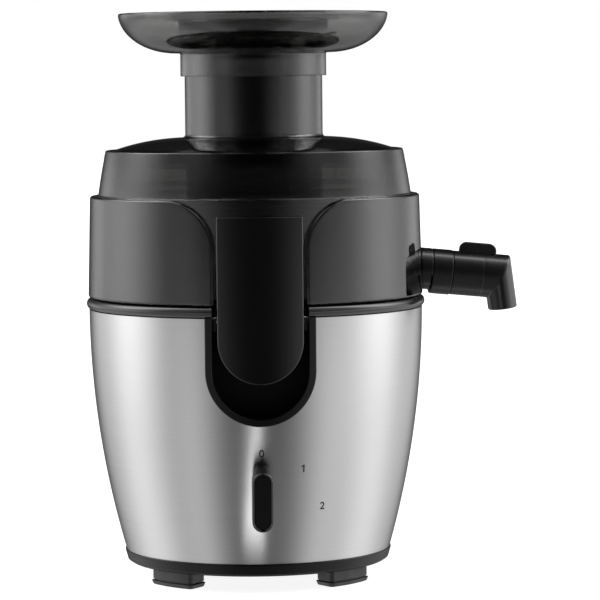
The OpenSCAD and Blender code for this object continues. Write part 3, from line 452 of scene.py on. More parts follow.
def moulded_plastic(name, tone, low_rough, high_rough, texture_depth, handling=0.0, shine=0.5):
    """Opaque moulded plastic: a fine surface texture, slow changes of gloss, and faint handling marks."""
    shader = Shader(name)
    clouds = shader.noise(35, detail=3.0)
    shader.tint(clouds, grey(tone * 0.85), grey(tone * 1.12))
    smears = shader.noise((90, 90, 25), detail=5.0, roughness=0.7)
    shader.rough(shader.blend(clouds, smears, handling), low_rough, high_rough)
    shader.bump(shader.noise(2600, detail=2.0), texture_depth, 0.5)
    shader.bump(shader.noise(45, detail=1.0), 0.00006, 0.25)
    shader.set(IOR=1.52, Specular_IOR_Level=shine)
    return shader.material


def smoky_plastic(name, density, gloss=0.5):
    """Clear smoky plastic. Its tint builds up with the depth that light crosses."""
    shader = Shader(name)
    shader.set(Base_Color=(1, 1, 1, 1), Roughness=0.03, IOR=1.58, Transmission_Weight=1.0)
    shader.set(Specular_IOR_Level=gloss)
    shader.bump(shader.noise(24, detail=0.0), 0.00003, 0.05)
    absorption = shader.node("ShaderNodeVolumeAbsorption")
    absorption.inputs["Color"].default_value = (0.06, 0.05, 0.04, 1)
    absorption.inputs["Density"].default_value = density
    output = shader.tree.nodes["Material Output"]
    shader.link(absorption.outputs["Volume"], output.inputs["Volume"])
    return shader.material


def rubber(name, tone):
    """Soft rubber with a dull, dusty surface."""
    shader = Shader(name)
    dust = shader.noise(130, detail=5.0)
    shader.tint(dust, grey(tone * 0.8), grey(tone * 1.4, 0.03))
    shader.rough(dust, 0.5, 0.72)
    shader.bump(shader.noise(1500, detail=3.0), 0.00004, 0.6)
    return shader.material


def laminated(name, tone):
    """The edges of stacked steel sheets."""
    shader = Shader(name)
    sheets = shader.noise((8, 8, 2000), detail=1.0)
    shader.tint(sheets, grey(tone * 0.55), grey(tone * 1.1))
    shader.rough(sheets, 0.35, 0.55)
    shader.bump(sheets, 0.00008, 0.8)
    shader.set(Metallic=0.9)
    return shader.material


def wound(name, tone):
    """Enamelled copper wire laid in turns."""
    shader = Shader(name)
    turns = shader.node("ShaderNodeTexWave", wave_type="BANDS", bands_direction="DIAGONAL")
    turns.inputs["Scale"].default_value = 520
    turns.inputs["Distortion"].default_value = 1.2
    shader.link(shader.coordinates.outputs["Object"], turns.inputs["Vector"])
    shader.tint(turns.outputs["Fac"], tuple(c * 0.45 for c in tone), tone)
    shader.rough(turns.outputs["Fac"], 0.42, 0.22)
    shader.bump(turns.outputs["Fac"], 0.0002, 0.8)
    shader.set(Metallic=0.85, Coat_Weight=0.4, Coat_Roughness=0.15)
    return shader.material


def perforated(name, tone):
    """Etched stainless sheet with a fine pattern of holes."""
    shader = Shader(name)
    cells = shader.node("ShaderNodeTexVoronoi", feature="F1")
    cells.inputs["Scale"].default_value = 950
    cells.inputs["Randomness"].default_value = 0.12
    shader.link(shader.coordinates.outputs["Object"], cells.inputs["Vector"])
    holes = shader.spread(cells.outputs["Distance"], 0, 1, 0.28, 0.36)
    shader.tint(holes, grey(tone * 0.06), grey(tone))
    shader.rough(holes, 0.6, 0.28)
    shader.bump(holes, 0.0003, 1.0)
    shader.set(Metallic=1.0)
    return shader.material


STEEL = brushed_metal("brushed_steel", 0.46, (16, 16, 4200), 0.26, 0.38, 0.85)
STAINLESS = perforated("sieve_steel", 0.55)
GRATER = plain_metal("grater_steel", grey(0.6), 0.22, 0.38)
BLACK = moulded_plastic("black_gloss", 0.0022, 0.08, 0.16, 0.000004, 0.4)
SATIN = moulded_plastic("black_satin", 0.005, 0.22, 0.34, 0.00001, 0.3)
MATT = moulded_plastic("black_matt", 0.002, 0.4, 0.5, 0.00001, 0.0, 0.15)
FRAME_BLACK = moulded_plastic("black_frame", 0.002, 0.28, 0.4, 0.000006, 0.3, 0.2)
DARK_GREY = moulded_plastic("dark_grey", 0.006, 0.16, 0.26, 0.00001, 0.2)
WHITE = moulded_plastic("white_acetal", 0.62, 0.35, 0.5, 0.00001)
PHENOLIC = moulded_plastic("brown_board", 0.06, 0.5, 0.65, 0.00003)
CARBON = moulded_plastic("carbon_block", 0.02, 0.4, 0.6, 0.00003)
SMOKE = smoky_plastic("smoke_light", 520)
DARK_SMOKE = smoky_plastic("smoke_dark", 900)
INNER_SMOKE = smoky_plastic("smoke_inner", 900, 0.2)
RUBBER = rubber("black_rubber", 0.018)
WIRE = plain_metal("bright_steel", grey(0.62), 0.12, 0.26)
ALUMINIUM = plain_metal("cast_aluminium", grey(0.62, -0.01), 0.35, 0.55, 1400, 0.00006)
COPPER = wound("copper_winding", (0.62, 0.27, 0.11))
LAMINATED = laminated("lamination_edges", 0.36)
PRINT = moulded_plastic("dial_ink", 0.005, 0.45, 0.6, 0.000002)

FINISHES = {
    "brushed_steel": STEEL,
    "dark_grey_plastic": DARK_GREY,
    "black_plastic": SATIN,
    "smoky_plastic": DARK_SMOKE,
    "rubber": RUBBER,
    "spring_steel": WIRE,
    "lamination_steel": LAMINATED,
    "cast_aluminium": ALUMINIUM,
    "copper": COPPER,
    "carbon": CARBON,
    "phenolic": PHENOLIC,
    "stainless": STAINLESS,
    "white_plastic": WHITE,
}

NODE_FINISHES = {"grater_disc": GRATER, "latch_recess": MATT}


def finish_cad_nodes():
    """Gives every CAD node its own finish or that of its slot, and smooth shading."""
    slots = {part["node"]: part["material_slot"] for part in frame["record"]["subparts"]}
    for name, node in frame["nodes"].items():
        finish(node.data, NODE_FINISHES.get(name, FINISHES[slots[name]]), 30)


# Places


def barrel_radius(z):
    """Radius of the barrel's side at a height."""
    return BARREL_R - BARREL_ARC_R + math.sqrt(BARREL_ARC_R**2 - (z - BARREL_MID_Z) ** 2)


def about_z(azimuth):
    """A turn about the Z axis in degrees."""
    return Matrix.Rotation(math.radians(azimuth), 4, "Z")


def facing_out(azimuth, radius, z, tilt):
    """Frame at a radius and height: Z points outwards, tilted down by some degrees, and Y points up."""
    place = Matrix.Translation((0, -radius, z))
    return about_z(azimuth) @ place @ Matrix.Rotation(math.radians(90 + tilt), 4, "X")


def on_barrel(azimuth, z):
    """Frame on the barrel's side: Z along the outward normal, Y up."""
    slope = math.degrees(math.asin((BARREL_MID_Z - z) / BARREL_ARC_R))
    return facing_out(azimuth, barrel_radius(z), z, slope)


SPOUT = facing_out(SPOUT_AZIMUTH, SPOUT_START_R, SPOUT_Z, SPOUT_SLOPE)


def recess_half(z, half_w):
    """Half the width of the recess's outline at a height."""
    drop = max(0.0, RECESS_MID_Z - z)
    return math.sqrt(max(0.0, half_w**2 - drop**2))


# Base


def steel_barrel():
    """Barrel sheet, cut out for the recess."""
    half_w = RECESS_HALF_W + 2
    low_z = RECESS_MID_Z - half_w
    plain_rows, arc_rows, side_rows, columns = 28, 26, 10, 180
    heights = [STEEL_LOW.z + (low_z - STEEL_LOW.z) * k / plain_rows for k in range(plain_rows)]
    heights += [RECESS_MID_Z - half_w * math.cos(math.pi / 2 * k / arc_rows) for k in range(arc_rows)]
    heights += [RECESS_MID_Z + (SEAM_Z - RECESS_MID_Z) * k / side_rows for k in range(side_rows + 1)]
    bm = bmesh.new()
    faces = []
    for depth in (0, SHEET_T):
        rows = []
        for z in heights:
            radius = barrel_radius(z)
            start = math.asin(recess_half(z, half_w) / radius)
            angles = [start + (math.tau - 2 * start) * k / columns for k in range(columns + 1)]
            inner = radius - depth
            rows.append([bm.verts.new((inner * math.sin(a), -inner * math.cos(a), z)) for a in angles])
        faces.append(rows)
    outer, inner = faces
    for rows in faces:
        for low, high in zip(rows, rows[1:]):
            for k in range(columns):
                bm.faces.new((low[k], low[k + 1], high[k + 1], high[k]))
    for row in (0, -1):
        for k in range(columns):
            bm.faces.new((outer[row][k], outer[row][k + 1], inner[row][k + 1], inner[row][k]))
    for row in range(plain_rows, len(heights) - 1):
        for k in (0, -1):
            bm.faces.new((outer[row][k], outer[row + 1][k], inner[row + 1][k], inner[row][k]))
    piece = new_piece("barrel_sheet", bm)
    cutters = []
    for hole_r, azimuth, z in ((5, 0, KNOB_Z), (7.2, 180, GLAND_Z)):
        drill = lathe(bmesh.new(), rounded_box(0, -8, hole_r, 8, 0), 48)
        cutters.append(new_piece("cutter", drill, on_barrel(azimuth, z)))
    cut_away(piece, *cutters)
    return dress(piece, "base", STEEL, "brushed_steel", "steel_shell")


def recess_frame():
    """Black frame round the recess: a bevelled section swept down one side, round and up the other."""
    rise, back, wall_t = 0.95, -2.6, 1.9
    section = rounded([
        (0, back, 0), (0, 0.45, 0.15), (0.55, rise, 0.2), (FRAME_W - 0.1, rise, 0.55), (FRAME_W, -0.1, 0),
        (wall_t, -0.1, 0), (wall_t, back, 0),
    ], steps=4)
    top_z = SEAM_Z + 0.4
    side_rows, arc_rows = 12, 72
    heights = [top_z - (top_z - RECESS_MID_Z) * k / side_rows for k in range(side_rows)]
    path = [("side", 1, z) for z in heights]
    path += [("arc", math.pi / 2 - math.pi * k / arc_rows, 0) for k in range(arc_rows + 1)]
    path += [("side", -1, z) for z in reversed(heights)]
    loops = []
    for kind, turn, z in path:
        loop = []
        for out, proud in section:
            half = RECESS_HALF_W + out
            x = half * turn if kind == "side" else half * math.sin(turn)
            height = z if kind == "side" else RECESS_MID_Z - half * math.cos(turn)
            radius = barrel_radius(height) + proud
            loop.append((x, -math.sqrt(radius**2 - x**2), height))
        loops.append(loop)
    piece = new_piece("recess_frame", skin(bmesh.new(), loops))
    dress(piece, "base", FRAME_BLACK, "dark_grey_plastic")


def seam_ring():
    """Dark ring over the seam, open in front where the recess is."""
    inner_r, top_z = 92.8, RING_HIGH.z
    bulge = (top_z - SEAM_Z) / 2
    outer = arc((RING_HIGH.x - bulge, SEAM_Z + bulge), bulge, -90, 90, 20)
    step = ((94.2, top_z), (93.9, top_z - 0.5), (inner_r, top_z - 0.5))
    outline = [Vector((inner_r, SEAM_Z)), *outer, *(Vector(p) for p in step)]
    piece = new_piece("seam_ring", lathe_past_notch(bmesh.new(), outline, RECESS_HALF_W))
    dress(piece, "base", DARK_GREY, "dark_grey_plastic", "trim_ring")


def bottom_ring():
    """Black bottom cover: the ring under the barrel, and a floor with cooling slots and screw wells."""
    low, top = COVER_LOW.z, STEEL_LOW.z
    lip_r, lip_inner_r, lip_z = 76.7, 74.9, COVER_HIGH.z
    outline = rounded([
        (0, low, 0), (74.6, low, 1.2), (76.8, low + 1.4, 1.0), (78.2, top - 1.2, 0.5),
        (78.25, top - 0.15, 0.5), (lip_r, top - 0.1, 0), (lip_r, lip_z, 0.4), (lip_inner_r, lip_z, 0.4),
        (73.4, low + 3, 2), (0, low + 3, 0),
    ])
    piece = new_piece("bottom_ring", lathe(bmesh.new(), outline))
    slots = 24
    cutters = []
    for i in range(slots):
        slot = slab(bmesh.new(), rounded_box(-1.5, 14, 1.5, 32, 1.45), [(0, low - 1), (0, low + 4)], as_is)
        cutters.append(new_piece("cutter", slot, about_z(360 * (i + 0.5) / slots)))
    screw_r = 33.5 * math.sqrt(2)
    well = [Vector(p) for p in ((0, -1), (4.4, -1), (4.4, 2), (2.3, 2), (2.3, 5), (0, 5))]
    for azimuth in (45, 135, 225, 315):
        place = about_z(azimuth) @ Matrix.Translation((0, -screw_r, low))
        cutters.append(new_piece("cutter", lathe(bmesh.new(), well, 40), place))
    cut_away(piece, *cutters)
    dress(piece, "base", FRAME_BLACK, "black_plastic", "bottom_cover")


def feet():
    """Four rubber feet: round-cornered blocks over a pad with a thin lip."""
    outer_r, inner_r, half_angle, corner_r = 71.0, 56.0, 14.0, 4.2
    pad = [(1.0, 0), (0.3, 0.15), (-0.1, 0.7), (-0.7, 2.1), (-0.8, 2.4), (-0.6, 2.55)]
    groove = [(0.75, 2.7), (0.8, 3.2), (0.15, 3.35), (0, 3.6)]
    steps = pad + groove + [(0, FOOT_HIGH.z)]
    corners = []
    for radius, first, last in ((outer_r, -half_angle, half_angle), (inner_r, half_angle, -half_angle)):
        # The points between the ends stay clear of the corners' rounds.
        clear = math.copysign(math.degrees(1.35 * corner_r / radius), last - first)
        middle = [first + clear + (last - first - 2 * clear) * k / 10 for k in range(11)]
        for angle in (first, *middle, last):
            a = math.radians(angle)
            edge_r = corner_r if angle in (first, last) else 0
            corners.append((radius * math.sin(a), -radius * math.cos(a), edge_r))
    outline = rounded(corners, steps=8)
    azimuths = {"front_right": 48.5, "rear_right": 131.5, "rear_left": 228.5, "front_left": 311.5}
    for name, azimuth in azimuths.items():
        piece = new_piece(f"rubber_foot_{name}", slab(bmesh.new(), outline, steps, as_is), about_z(azimuth))
        dress(piece, "base", RUBBER, "rubber", f"foot_{name}")


def cord_gland():
    """Rubber gland at the back, with ribs round its neck."""
    ribs = []
    for k in range(3):
        z = 4.0 + 1.7 * k
        rib_r = 6.5 - 0.15 * k
        root_r = rib_r - 0.6
        ribs += [(rib_r, z, 0.2), (rib_r, z + 0.9, 0.2), (root_r, z + 1.1, 0.1), (root_r, z + 1.5, 0.1)]
    bore_r, neck_r, inner_lip_r, inside, outside = 3.6, 7, 9.5, -7, 9
    outline = rounded([
        (bore_r, inside, 0.3), (inner_lip_r, inside, 0.6), (inner_lip_r, -3.6, 0.3), (neck_r, -3.6, 0.1),
        (neck_r, 0.2, 0.1), (10.4, 0.2, 0.4), (10.2, 2, 0.8), (8.2, 3.4, 0.8), (6.9, 3.5, 0.3), *ribs,
        (5.6, outside, 0.5), (bore_r, outside, 0.4),
    ], steps=4)
    piece = new_piece("rear_gland", lathe(bmesh.new(), outline, 72), on_barrel(180, GLAND_Z))
    dress(piece, "base", RUBBER, "rubber", "cord_gland")


def typed_figure(figure, height):
    """Flat mesh of a figure from the plain font, centred."""
    text = bpy.data.curves.new("figure", "FONT")
    text.body = figure
    text.size = height * 1.4
    text.align_x = "CENTER"
    text.align_y = "CENTER"
    text.extrude = 0.03
    text.offset = 0.1
    text.resolution_u = 8
    holder = bpy.data.objects.new("figure", text)
    bpy.context.scene.collection.objects.link(holder)
    bpy.context.view_layer.update()
    mesh = bpy.data.meshes.new_from_object(holder.evaluated_get(bpy.context.evaluated_depsgraph_get()))
    bpy.data.objects.remove(holder)
    bm = bmesh.new()
    bm.from_mesh(mesh)
    bpy.data.meshes.remove(mesh)
    return bm


def flagged_one(height):
    """Flat mesh of a figure 1: a stem with a slanted flag."""
    half, stem, flag = height / 2, 0.4, 1.1
    outline = [Vector(p) for p in (
        (-stem, -half), (stem, -half), (stem, half), (-0.1, half), (-stem - flag, half - 0.9),
        (-stem - flag, half - 1.6), (-stem, half - 1.0),
    )]
    return slab(bmesh.new(), outline, [(0, -0.03), (0, 0.03)], as_is)


def dial_marks():
    """Printed figures round the knob: 0 above it, then the two speeds."""
    height = 4.4
    figures = {"0": typed_figure("0", height), "1": flagged_one(height), "2": typed_figure("2", height)}
    proud = Matrix.Translation((0, 0, 0.03))
    for (figure, bm), (azimuth, z) in zip(figures.items(), ((0, 81.5), (15.3, 72.6), (23.6, 50))):
        piece = new_piece(f"dial_figure_{figure}", bm, on_barrel(azimuth, z) @ proud)
        dress(piece, "base", PRINT, "black_plastic")


# Container


def bowl_radius(z):
    """Outer radius of the container at a height."""
    return BOWL_R + (BOWL_RIM_R - BOWL_R) * (z - BOWL_FLOOR_Z) / (BOWL_RIM_Z - BOWL_FLOOR_Z)


def bowl_wall():
    """Smoky outer wall with its front notch, drawn flat with the back in the middle and wrapped round."""
    flare_z = BOWL_RIM_Z - NOTCH_FLARE_R
    flare_x = NOTCH_HALF_W + NOTCH_FLARE_R
    edge = [(NOTCH_HALF_W, BOWL_FLOOR_Z, 1.2), (NOTCH_HALF_W, flare_z - 8, 0)]
    edge += [(p.x, p.y, 0) for p in arc((flare_x, flare_z), NOTCH_FLARE_R, 180, 92, 24)]
    edge.append((flare_x + 2.5, BOWL_RIM_Z, 0))

    def around(x, z):
        """Distance round the wall from the back to the point at x in front."""
        return BOWL_R * (math.pi - math.asin(x / bowl_radius(z)))

    right = [(around(x, z), z, r) for x, z, r in edge]
    outline = rounded(right + [(-u, z, r) for u, z, r in reversed(right)])

    def wrap(u, v, depth):
        """Wraps the flat wall round the Z axis."""
        a = math.pi + u / BOWL_R
        radius = bowl_radius(v) - depth
        return radius * math.sin(a), -radius * math.cos(a), v

    limit = BOWL_R * math.pi
    return slab(bmesh.new(), outline, edge_steps(WALL, 1.5, 0.5), wrap, spread(-limit, limit, 150))


def container():
    """Smoky container: outer wall, floor, inner tub and the floor's flange outside the tub."""
    floor_top = BOWL_FLOOR_Z + 2.5
    tub_top = 215.0
    bore_r, foot_r = 19.3, TUB_R + 0.75
    dress(new_piece("bowl_wall", bowl_wall()), "bowl", DARK_SMOKE, "smoky_plastic", "pulp_container")
    tub = rounded([
        (bore_r, BOWL_FLOOR_Z, 0.4), (foot_r, BOWL_FLOOR_Z, 0.8), (foot_r, floor_top, 0.6),
        (TUB_R, floor_top + 0.6, 0.5), (TUB_R, tub_top, 0.8), (TUB_R - 2, tub_top, 0.8),
        (TUB_R - 2, floor_top, 1.8), (bore_r, floor_top, 0.5),
    ])
    dress(new_piece("bowl_tub", lathe(bmesh.new(), tub)), "bowl", INNER_SMOKE, "smoky_plastic")
    flange_r, flange_inner_r = bowl_radius(floor_top) - WALL - 0.05, foot_r + 0.05
    flange_z = BOWL_FLOOR_Z + 0.02
    flange = rounded([
        (flange_inner_r, flange_z, 0), (flange_r, flange_z, 0), (flange_r, floor_top, 0.3),
        (flange_inner_r, floor_top, 0),
    ])
    bm = lathe_past_notch(bmesh.new(), flange, NOTCH_HALF_W + 0.4)
    dress(new_piece("bowl_flange", bm), "bowl", DARK_SMOKE, "smoky_plastic")


# Spout


def spout_pipe():
    """Black pipe with its outer sleeve and the spigot that the elbow turns on."""
    bore_r, pipe_r, spigot_r, groove_r = 8.4, 10.3, 10.25, 9.3
    inside, outside = -33.5, 33
    outline = rounded([
        (bore_r, inside, 0.3), (pipe_r, inside, 0.6), (pipe_r, 7.5, 0.1), (SLEEVE_R - 0.3, 7.6, 0.2),
        (SLEEVE_R, 8.1, 0.3), (SLEEVE_R, 19.3, 0.35), (spigot_r, 19.3, 0.2), (spigot_r, 28.1, 0.2),
        (groove_r, 28.1, 0.1), (groove_r, 29.9, 0.1), (spigot_r, 29.9, 0.2), (spigot_r, outside, 0.5),
        (bore_r, outside, 0.5),
    ], steps=5)
    piece = new_piece("spout_tube", lathe(bmesh.new(), outline, 96), SPOUT)
    dress(piece, "bowl", SATIN, "black_plastic", "spout_pipe")


def spout_collar():
    """Collar round the pipe on the container's wall: broad over the top and slim underneath."""
    slim_r, step_y, top = 11.1, -2.0, 7.4
    broad_end = math.degrees(math.asin(step_y / SLEEVE_R))
    slim_end = math.degrees(math.asin(step_y / slim_r))
    outline = arc((0, 0), SLEEVE_R, broad_end, 180 - broad_end, 48)
    outline += arc((0, 0), slim_r, 180 - slim_end, 360 + slim_end, 32)
    inner_r = BOWL_R + 0.12

    def wrap(u, v, depth):
        """Runs the collar from its top down to the container's wall."""
        flat = SPOUT @ Vector((u, v, 0))
        out = SPOUT.to_3x3() @ Vector((0, 0, 1))
        a = out.x**2 + out.y**2
        b = flat.x * out.x + flat.y * out.y
        c = flat.x**2 + flat.y**2 - inner_r**2
        surface = (-b + math.sqrt(b * b - a * c)) / a
        return u, v, top - (top - surface) * depth

    rim = [(0.5, 0), (0.15, 0.02), (0, 0.08), (0, 1)]
    cuts_u, cuts_v = spread(-SLEEVE_R, SLEEVE_R, 20), spread(-slim_r, SLEEVE_R, 16)
    piece = new_piece("pipe_collar", slab(bmesh.new(), outline, rim, wrap, cuts_u, cuts_v), SPOUT)
    bore = new_piece("cutter", lathe(bmesh.new(), rounded_box(0, -20, 10.4, 20, 0), 96), SPOUT)
    cut_away(piece, bore)
    dress(piece, "bowl", SATIN, "black_plastic", "spout_collar")


def elbow_loop(turns, radius, half_t, at, kind):
    """One loop of the elbow's skin in the spout's frame. kind is body, bend or nozzle, and at is the
    distance along the body's axis, the share of the way through the bend, or the distance down the nozzle.
    """
    tilt = math.radians(NOZZLE_TURN)
    down = Vector((0, -math.sin(tilt), math.cos(tilt)))
    across = Vector((0, math.cos(tilt), math.sin(tilt)))
    lean = (half_t / radius - across.y) / across.z
    bend = 1.3
    loop = []
    for k in range(turns):
        a = math.tau * k / turns
        x, y = radius * math.sin(a), radius * math.cos(a)
        corner = Vector((x, y, NOZZLE_AT + lean * y))
        if kind == "body":
            loop.append(Vector((x, y, at)))
        elif kind == "nozzle":
            centre = Vector((x, 0, NOZZLE_AT)) + across * (half_t * math.cos(a))
            loop.append(centre + down * at)
        else:
            before = corner - Vector((0, 0, bend))
            after = corner + down * bend
            loop.append(before * (1 - at) ** 2 + corner * (2 * at * (1 - at)) + after * at**2)
    return loop


def spout_elbow():
    """Black elbow: a round body mitred into an oval nozzle, hollow, with a thumb tab on top."""
    turns = 96
    inner_r, inner_t = ELBOW_BORE_R, NOZZLE_HALF_T - 2
    start = 19.7
    seam = 37.7
    outer = [(0.5, start), (0.12, start + 0.15), (0, start + 0.5), (0, seam - 0.3), (0.12, seam),
             (0, seam + 0.3), (0, 40.5)]
    loops = [elbow_loop(turns, ELBOW_R - d, NOZZLE_HALF_T, at, "body") for d, at in outer]
    loops += [elbow_loop(turns, ELBOW_R, NOZZLE_HALF_T, k / 5, "bend") for k in range(6)]
    lip = [(0, NOZZLE_DROP - 0.6), (0.18, NOZZLE_DROP - 0.18), (0.6, NOZZLE_DROP), (1.4, NOZZLE_DROP),
           (1.85, NOZZLE_DROP - 0.2), (2, NOZZLE_DROP - 0.6)]
    loops += [elbow_loop(turns, ELBOW_R - d, NOZZLE_HALF_T - d, at, "nozzle") for d, at in lip]
    loops += [elbow_loop(turns, inner_r, inner_t, k / 5, "bend") for k in range(5, -1, -1)]
    loops += [elbow_loop(turns, inner_r, inner_t, at, "body") for at in (start + 0.3, start)]
    bm = skin(bmesh.new(), loops, ring=True)
    tab_start, tab_end, tab_top, tab_t = 23.6, 45.6, ELBOW_R + 5.7, 5
    tab = rounded([(tab_start, 8, 0), (tab_end, 8, 0), (tab_end, tab_top, 4.4), (tab_start, tab_top, 4.4)],
                  steps=10)
    slab(bm, tab, edge_steps(tab_t, 0.9, 0.9), lambda u, v, depth: (depth - tab_t / 2, v, u))
    piece = new_piece("spout_turn_elbow", bm, SPOUT)
    side = Matrix.Rotation(math.pi / 2, 4, "Y")
    dimples = []
    for x in (-tab_t / 2, tab_t / 2):
        dimple = lathe(bmesh.new(), rounded_box(0, -0.5, 0.9, 0.5, 0.3), 24)
        place = SPOUT @ Matrix.Translation((x, ELBOW_R + 2.1, 41.9)) @ side
        dimples.append(new_piece("cutter", dimple, place))
    cut_away(piece, *dimples)
    dress(piece, "elbow", SATIN, "black_plastic", "spout_elbow")


# Lid


def dome_height(radius):
    """Height of the dome's top at a radius."""
    return DOME_CREST_Z - DOME_ARC_R + math.sqrt(DOME_ARC_R**2 - (radius - CHUTE_HIGH.x + 1) ** 2)


def lid():
    """Smoky lid and feed chute, one moulding: skirt, slanted side, rim, dome and chute."""
    skirt_r, skirt_z = LID_HIGH.x, 204
    low_z, rim_z = 224.6, 250.4
    chute_r, chute_bore = 40.2, 37.5
    chute_z, top_z = 193, CHUTE_HIGH.z

    def side_r(z):
        """Radius of the slanted side, which leans in more towards the rim."""
        h = z - low_z
        return 91.5 - 0.14 * h - 0.0015 * h * h

    lip_r = side_r(rim_z)
    groove_r = lip_r - 3.2
    side = [(side_r(z), z, 0) for z in spread(low_z, rim_z - 1, 8)]
    dome = [(r, dome_height(r), 0) for r in spread(groove_r - 1, chute_r + 3, 14)]
    under = [(r, dome_height(r) - WALL, 0) for r in spread(chute_r + 4, lip_r - 6, 12)]
    side_in = [(side_r(z) - WALL, z, 0) for z in reversed(spread(low_z, rim_z - 4, 8))]
    corner_r = lip_r - WALL - 2.4
    outline = rounded([
        (skirt_r - WALL, skirt_z, 0.8), (skirt_r, skirt_z, 0.8), (skirt_r, low_z - 0.3, 0.5),
        (side_r(low_z), low_z, 0.2), *side, (lip_r, rim_z, 0.9), (lip_r - 2.1, rim_z, 0.8),
        (groove_r, dome_height(groove_r) - 0.2, 0.8), *dome, (chute_r, dome_height(chute_r), 2.2),
        (chute_r, top_z, 0.8), (chute_bore, top_z, 0.8), (chute_bore, chute_z, 0.8), (chute_r, chute_z, 1.0),
        (chute_r, dome_height(chute_r) - WALL, 1.2), *under, (corner_r, dome_height(corner_r) - WALL, 1.5),
        *side_in, (skirt_r - WALL, low_z - 2, 0.5),
    ])
    dress(new_piece("lid_moulding", lathe(bmesh.new(), outline, 200)), "lid", DARK_SMOKE, "smoky_plastic",
          "lid_shell", "feed_chute")
    nose_half_w, nose_low, nose_top = 34, 169, skirt_z - 0.05
    nose = rounded([
        (-nose_half_w, nose_low, 6), (nose_half_w, nose_low, 6), (nose_half_w, nose_top, 0),
        (-nose_half_w, nose_top, 0),
    ])

    def wrap(u, v, depth):
        """Wraps the nose round the skirt's front."""
        a = u / skirt_r
        return (skirt_r - depth) * math.sin(a), -(skirt_r - depth) * math.cos(a), v

    bm = slab(bmesh.new(), nose, edge_steps(WALL, 0.5, 0.5), wrap, spread(-nose_half_w, nose_half_w, 24))
    dress(new_piece("lid_nose", bm), "lid", INNER_SMOKE, "smoky_plastic")


# Food tray and pusher


def tray_side(offset):
    """Points up the tray's side, inside it by an offset. It is a quarter ellipse that stops short of
    upright."""
    out, up = TRAY_HIGH.x - TRAY_FLOOR_R - offset, TRAY_RISE - offset
    steps = 16
    top = math.asin(0.06)
    turns = [math.pi / 2 + (top - math.pi / 2) * k / steps for k in range(steps + 1)]
    mid_z = TRAY_FLOOR_Z + TRAY_RISE
    return [(TRAY_FLOOR_R + out * math.cos(t), mid_z - up * math.sin(t), 0) for t in turns]


def tray():
    """Smoky food tray: a shallow bowl on a collar."""
    thickness = 3.0
    bore_r, collar_bore_r, collar_r = 37.5, 40.55, 42.6
    outer, inner = tray_side(0), tray_side(thickness)
    top_z = TRAY_HIGH.z
    seat_z = 303.4
    outline = rounded([
        (bore_r, seat_z, 0.3), (collar_bore_r, seat_z, 0.3), (collar_bore_r, TRAY_LOW.z, 0.4),
        (collar_r, TRAY_LOW.z, 0.5), (collar_r, TRAY_FLOOR_Z, 0.9), *outer[:-1], (outer[-1][0], top_z, 1.1),
        (inner[-1][0], top_z - 0.2, 1.1), *reversed(inner[:-1]), (bore_r, TRAY_FLOOR_Z + thickness, 1.2),
    ])
    piece = new_piece("tray_bowl", lathe(bmesh.new(), outline, 200))
    dress(piece, "tray", SMOKE, "smoky_plastic", "food_tray")


def pusher():
    """Smoky pusher: a long cup whose broad cap rests on the tray's floor."""
    tube_r, cap_r = 36.9, PUSHER_HIGH.x
    cap_z, top_z = 309.9, PUSHER_HIGH.z
    low = PUSHER_LOW.z
    outline = rounded([
        (0, low, 0), (tube_r, low, 2.0), (tube_r, cap_z, 0.4), (cap_r, cap_z, 1.2), (cap_r, top_z, 1.2),
        (cap_r - 3.2, top_z, 1.2), (cap_r - 3.2, cap_z + 3, 1.2), (tube_r - 2.4, cap_z + 3, 1.0),
        (tube_r - 2.4, low + 3, 2.0), (0, low + 3, 0),
    ])
    piece = new_piece("pusher_cup", lathe(bmesh.new(), outline, 200))
    dress(piece, "pusher_body", DARK_SMOKE, "smoky_plastic", "pusher")


# Lock lever and knob


def lock_lever():
    """Black lock lever: a curved tongue with round lower end, and the two lugs on its pin."""
    half_w = LEVER_HIGH.x
    mid_z = LEVER_LOW.z + half_w
    outer_r = -LEVER_LOW.y
    round_end = arc((0, mid_z), half_w, 180, 360, 48)
    outline = round_end[:-1] + [Vector((half_w, mid_z))]
    outline += rounded([(half_w, mid_z + 1, 0), (half_w, LEVER_HIGH.z, 0.7), (-half_w, LEVER_HIGH.z, 0.7),
                        (-half_w, mid_z + 1, 0)], closed=False)

    def wrap(u, v, depth):
        """Curves the tongue round the Z axis."""
        radius = outer_r - depth
        return u, -math.sqrt(radius**2 - u**2), v

    bm = slab(bmesh.new(), outline, edge_steps(4, 0.7, 0.4), wrap, spread(-half_w, half_w, 30))
    pin_y, pin_z = (PIN_LOW.y + PIN_HIGH.y) / 2, (PIN_LOW.z + PIN_HIGH.z) / 2
    lug = rounded([(2.05, -5, 0.3), (5, -5, 0.6), (5, 5, 0.6), (2.05, 5, 0.3)], steps=3)
    for x in (5.4 - half_w, half_w - 5.4):
        place = Matrix.Translation((x, pin_y, pin_z)) @ Matrix.Rotation(math.pi / 2, 4, "Y")
        part = lathe(bmesh.new(), lug, 64)
        bmesh.ops.transform(part, matrix=place, verts=part.verts)
        join(bm, part)
    dress(new_piece("lock_tongue", bm), "latch", BLACK, "black_plastic", "latch_lever")


